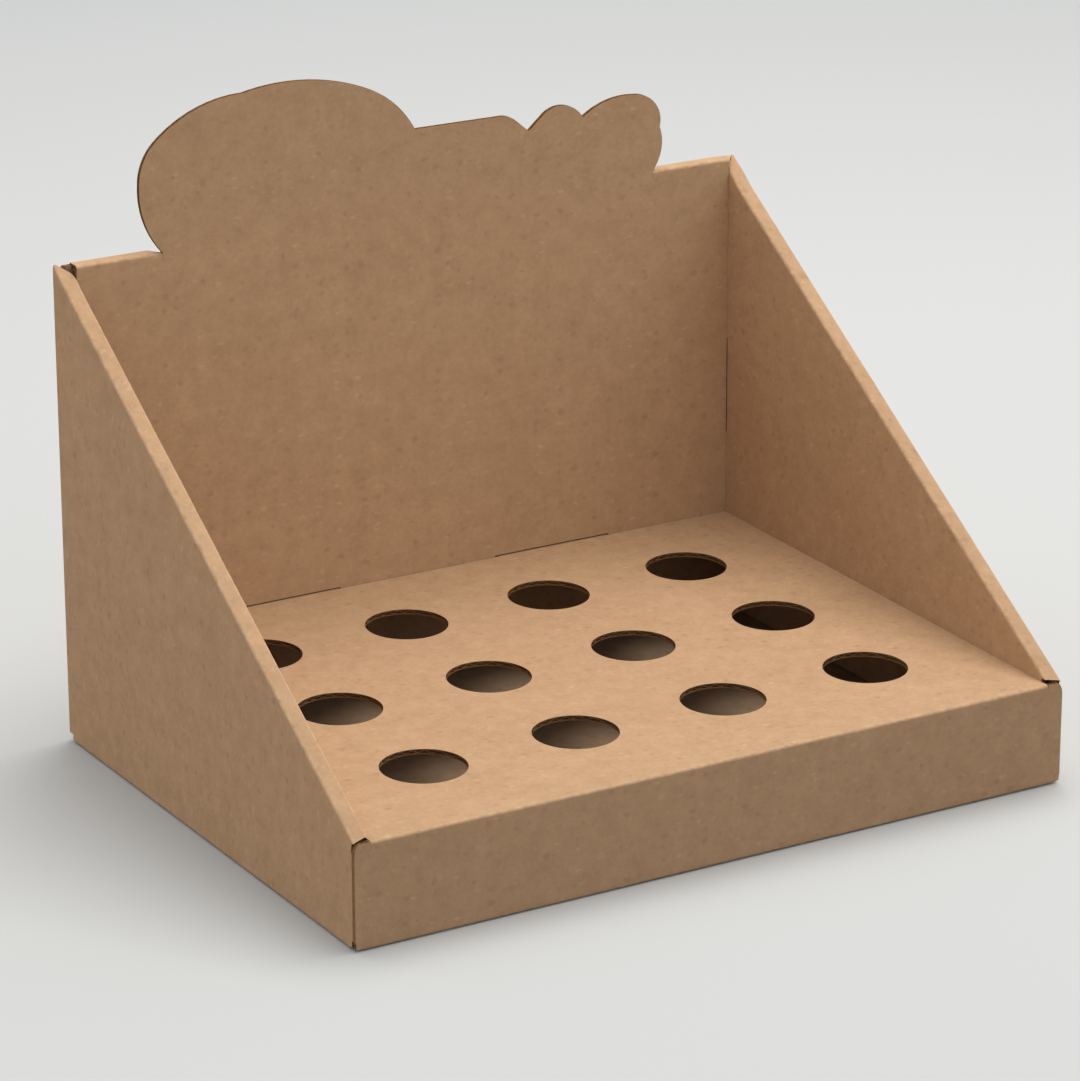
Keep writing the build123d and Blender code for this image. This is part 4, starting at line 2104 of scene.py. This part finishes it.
@dataclass(frozen=True)
class CutEdgeWithFluteShade(Paper):
    """Raw edge of the board where the die has cut it, darker than the liners: partly the raw
    board's own brown, partly painted shade of the flutes.
    """

    name: str = "cut_edge_with_flute_shade"
    # Dark brown of the edge: partly the raw board's colour, partly painted shade of the flutes,
    # over the real recesses.
    dark: Colour = (0.15, 0.075, 0.03)
    light: Colour = (0.34, 0.185, 0.085)
    clouds: float = 0.3
    mottle: float = 0.4
    grain: float = 1.0
    fibres: float = 0.3
    roughness: Flat = (1.0, 0.88)
    specular: float = 0.1
    bump_strength: float = 0.4


def put(name: str, data: bpy.types.ID) -> bpy.types.Object:
    """Puts a new object into the scene.

    Args:
        name: Name of the object.
        data: Its mesh, lamp or camera.

    Returns:
        The object.
    """
    thing = bpy.data.objects.new(name, data)
    bpy.context.scene.collection.objects.link(thing)
    return thing


@dataclass
class DisplayBox:
    """The folded blank as one piece, with its finishes."""

    shell: Shell
    ripple: float = 0.07
    ripple_length: float = 38.0
    ripple_seed: int = 7
    rise_left: float = 0.4
    rise_right: float = 1.2
    rise_corner: float = 0.8
    rise_across: Flat = (-40.0, 80.0)
    rise_corner_across: Flat = (110.0, 119.0)
    rise_deep: Flat = (80.0, 86.0)
    rise_below: Flat = (90.0, 148.0)
    rise_above: Flat = (150.0, 180.0)
    outer_liner: Liner = field(default_factory=Liner)
    # Inner liner: a darker, greyer copy of the liner, partly the duller back paper and partly
    # painted shade for the hollow under the shelf that the holes look into.
    inner_liner_with_painted_shade: Liner = field(default_factory=lambda: Liner(
        name="inner_liner_with_painted_shade", dark=(0.265, 0.18, 0.115), light=(0.43, 0.30, 0.20),
        # Its lighter crease tone is partly rubbed wear and partly painted highlight.
        speck=(0.12, 0.085, 0.06), hair=(0.42, 0.34, 0.27), worn_and_highlight=(0.36, 0.29, 0.22),
    ))
    edge: CutEdgeWithFluteShade = field(default_factory=CutEdgeWithFluteShade)

    def sheet(self) -> Sheet:
        """Folds up the blank.

        Returns:
            Its mesh data.
        """
        sheet = Sheet(self.shell.board)
        tray = Tray(self.shell)
        sides = [SideWall(self.shell, tray, hand) for hand in Hand]
        parts = [tray, BackWall(self.shell, tray), *sides]
        for part in parts:
            before = len(sheet.faces)
            part.add_to(sheet)
            log.info("%s: %d faces", type(part).__name__, len(sheet.faces) - before)
        return sheet

    def rise(self, place: Vector) -> float:
        """Lift of a point, as the rolled top of the back wall stands up, most of all on the right.

        Args:
            place: Point of the sheet.

        Returns:
            Its lift.
        """
        top = blend(self.rise_left, self.rise_right, eased(place.x, *self.rise_across))
        top += (self.rise_corner - self.rise_right) * eased(place.x, *self.rise_corner_across)
        near = eased(place.z, *self.rise_below) * (1 - eased(place.z, *self.rise_above))
        return top * near * eased(place.y, *self.rise_deep)

    def uneven(self, place: Vector, low: Vector, high: Vector) -> Vector:
        """Moves a point a little, as hand-folded board is never quite flat, within the box.

        Args:
            place: Point of the sheet.
            low: Lowest corner of the box.
            high: Highest corner of the box.

        Returns:
            The moved point.
        """
        moved = place + noise.noise_vector(place / self.ripple_length) * self.ripple
        moved += Z_AXIS * self.rise(place)
        limits = zip(moved, low, high)
        return Vector(tuple(min(max(value, least), most) for value, least, most in limits))

    def sharpen(self, mesh: bpy.types.Mesh, kinds: list[Face]) -> None:
        """Marks the edges of the cuts as sharp.

        Args:
            mesh: Mesh of the sheet.
            kinds: Surface of each of its faces.
        """
        loops = np.empty(len(mesh.loops), np.int32)
        mesh.loops.foreach_get("edge_index", loops)
        sides = np.empty(len(mesh.polygons), np.int32)
        mesh.polygons.foreach_get("loop_total", sides)
        cut = np.repeat([kind is Face.CUT for kind in kinds], sides)
        sharp = np.zeros(len(mesh.edges), bool)
        sharp[loops[cut]] = True
        mesh.edges.foreach_set("use_edge_sharp", sharp)

    def build(self) -> bpy.types.Object:
        """Makes the piece that takes the CAD node's place.

        Returns:
            The mesh object.
        """
        sheet = self.sheet()
        low, high = (Vector(tuple(corner)) / MM for corner in cad_box)
        mesh = bpy.data.meshes.new("display_box_board")
        noise.seed_set(self.ripple_seed)
        spots = [tuple(self.uneven(place, low, high) * MM) for place in sheet.points]
        mesh.from_pydata(spots, [], sheet.faces)
        blank = mesh.attributes.new("blank", "FLOAT_VECTOR", "POINT")
        flat = np.array([(u, v, 0.0) for u, v in sheet.blank], np.float32)
        blank.data.foreach_set("vector", flat.ravel())
        # The crease attribute lightens the liners on the crests of the bends: partly rubbed wear,
        # partly painted highlight.
        crease = mesh.attributes.new("crease", "FLOAT", "POINT")
        crease.data.foreach_set("value", np.array(sheet.crest_weight, np.float32))
        for finish in (self.outer_liner, self.inner_liner_with_painted_shade, self.edge):
            mesh.materials.append(finish.material())
        mesh.polygons.foreach_set("material_index", [kind.value for kind in sheet.kinds])
        mesh.polygons.foreach_set("use_smooth", [kind is not Face.CUT for kind in sheet.kinds])
        mesh.update(calc_edges=True)
        self.sharpen(mesh, sheet.kinds)
        piece = put("display_box_board", mesh)
        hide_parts(NODE)
        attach(piece, "root")
        return piece


@dataclass(frozen=True)
class Lamp:
    """Square soft lamp aimed at the foot of the box."""

    name: str
    power: float
    size: float
    place: Place
    colour: Colour = (1.0, 0.935, 0.84)

    def hang(self) -> None:
        """Adds the lamp to the scene."""
        lamp = bpy.data.lights.new(self.name, "AREA")
        lamp.size = self.size
        lamp.energy = self.power
        lamp.color = self.colour
        holder = put(self.name, lamp)
        holder.location = self.place
        holder.rotation_euler = (-Vector(self.place)).to_track_quat("-Z", "Y").to_euler()


@dataclass
class Studio:
    """Floor, light and camera."""

    floor_size: float = 6.0
    floor_drop: float = 0.0002
    floor_seen: Colour = (0.54, 0.56, 0.58)
    floor_bounce: Colour = (0.15, 0.15, 0.15)
    floor_roughness: float = 0.9
    sky_low_colour: Colour = (1.0, 0.96, 0.91)
    sky_high_colour: Colour = (0.94, 0.98, 1.0)
    sky_low: float = 1.0
    sky_high: float = 0.6
    sky_turn: float = 0.35
    sky_turned: float = 0.7
    sky_lean: float = 0.35
    key: Lamp = Lamp("key", power=19.0, size=1.2, place=(0.3, 0.15, 1.4))
    fill: Lamp = Lamp("fill", power=4.5, size=0.6, place=(-1.5, 0.1, 0.2))
    camera_place: Place = (-0.6969, -1.1710, 0.5581)
    camera_look: Place = (0.4782, 0.8110, -0.3370)
    camera_roll: float = -0.124
    photo_height: float = 1081.0
    focal_pixels: float = 4888.06
    sensor: float = 36.0

    def build(self) -> None:
        """Sets up the whole studio."""
        bpy.context.scene.view_settings.view_transform = "Standard"
        self.floor()
        self.light()
        self.camera()

    def floor(self) -> None:
        """Lays the floor, pale to the camera and darker in what it throws back."""
        half = self.floor_size / 2
        mesh = bpy.data.meshes.new("floor")
        ring = [(-half, -half), (half, -half), (half, half), (-half, half)]
        mesh.from_pydata([(x, y, -self.floor_drop) for x, y in ring], [], [(0, 1, 2, 3)])
        floor = put("floor", mesh)
        paint = Paint("floor")
        bench = paint.bench
        path = bench.add("LightPath")
        seen = bench.math("MAXIMUM", path.outputs["Is Camera Ray"], path.outputs["Is Glossy Ray"])
        seen = bench.math("MAXIMUM", seen, path.outputs["Is Transmission Ray"])
        mesh.materials.append(paint.finished({
            "Base Color": bench.mix(seen, self.floor_bounce, self.floor_seen),
            "Roughness": self.floor_roughness,
            "Specular IOR Level": 0.0,
        }))

    def light(self) -> None:
        """Hangs a wide lamp overhead and a low one on the left, in a sky brightest low down."""
        world = bpy.data.worlds.new("studio")
        bpy.context.scene.world = world
        world.use_nodes = True
        bench = NodeBench(world.node_tree)
        sky = world.node_tree.nodes["Background"]
        way = bench.add("SeparateXYZ")
        bench.feed(way.inputs[0], bench.add("TexCoord").outputs["Generated"])
        rising = way.outputs[2], self.sky_turn, self.sky_turned
        dome = bench.span(*rising, self.sky_low, self.sky_high)
        height = bench.span(*rising)
        tint = bench.mix(height, self.sky_low_colour, self.sky_high_colour)
        bench.feed(sky.inputs["Color"], tint)
        left, right = 1.0 - self.sky_lean, 1.0 + self.sky_lean
        lean = bench.span(way.outputs[0], -1.0, 1.0, left, right, smooth=False)
        bench.feed(sky.inputs["Strength"], bench.math("MULTIPLY", dome, lean))
        for lamp in (self.key, self.fill):
            lamp.hang()

    def camera(self) -> None:
        """Sets the camera where the photograph was taken from."""
        lens = bpy.data.cameras.new("camera")
        lens.sensor_width = self.sensor
        lens.lens = self.focal_pixels * self.sensor / self.photo_height
        camera = put("camera", lens)
        turn = Vector(self.camera_look).to_track_quat("-Z", "Y").to_matrix().to_4x4()
        roll = Matrix.Rotation(math.radians(self.camera_roll), 4, "Z")
        camera.matrix_world = Matrix.Translation(self.camera_place) @ turn @ roll
        bpy.context.scene.camera = camera


def main() -> None:
    """Builds the box and the studio."""
    logging.basicConfig(level=logging.INFO, format="%(name)s: %(message)s")
    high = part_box(NODE)[1]
    shell = Shell(side_x=round(high[0] / MM, 3), rear_y=round(high[1] / MM, 3))
    piece = DisplayBox(shell).build()
    mesh = piece.data
    log.info("%s: %d vertices, %d faces", piece.name, len(mesh.vertices), len(mesh.polygons))
    Studio().build()
    bpy.context.view_layer.update()


if __name__ == "__main__":
    main()
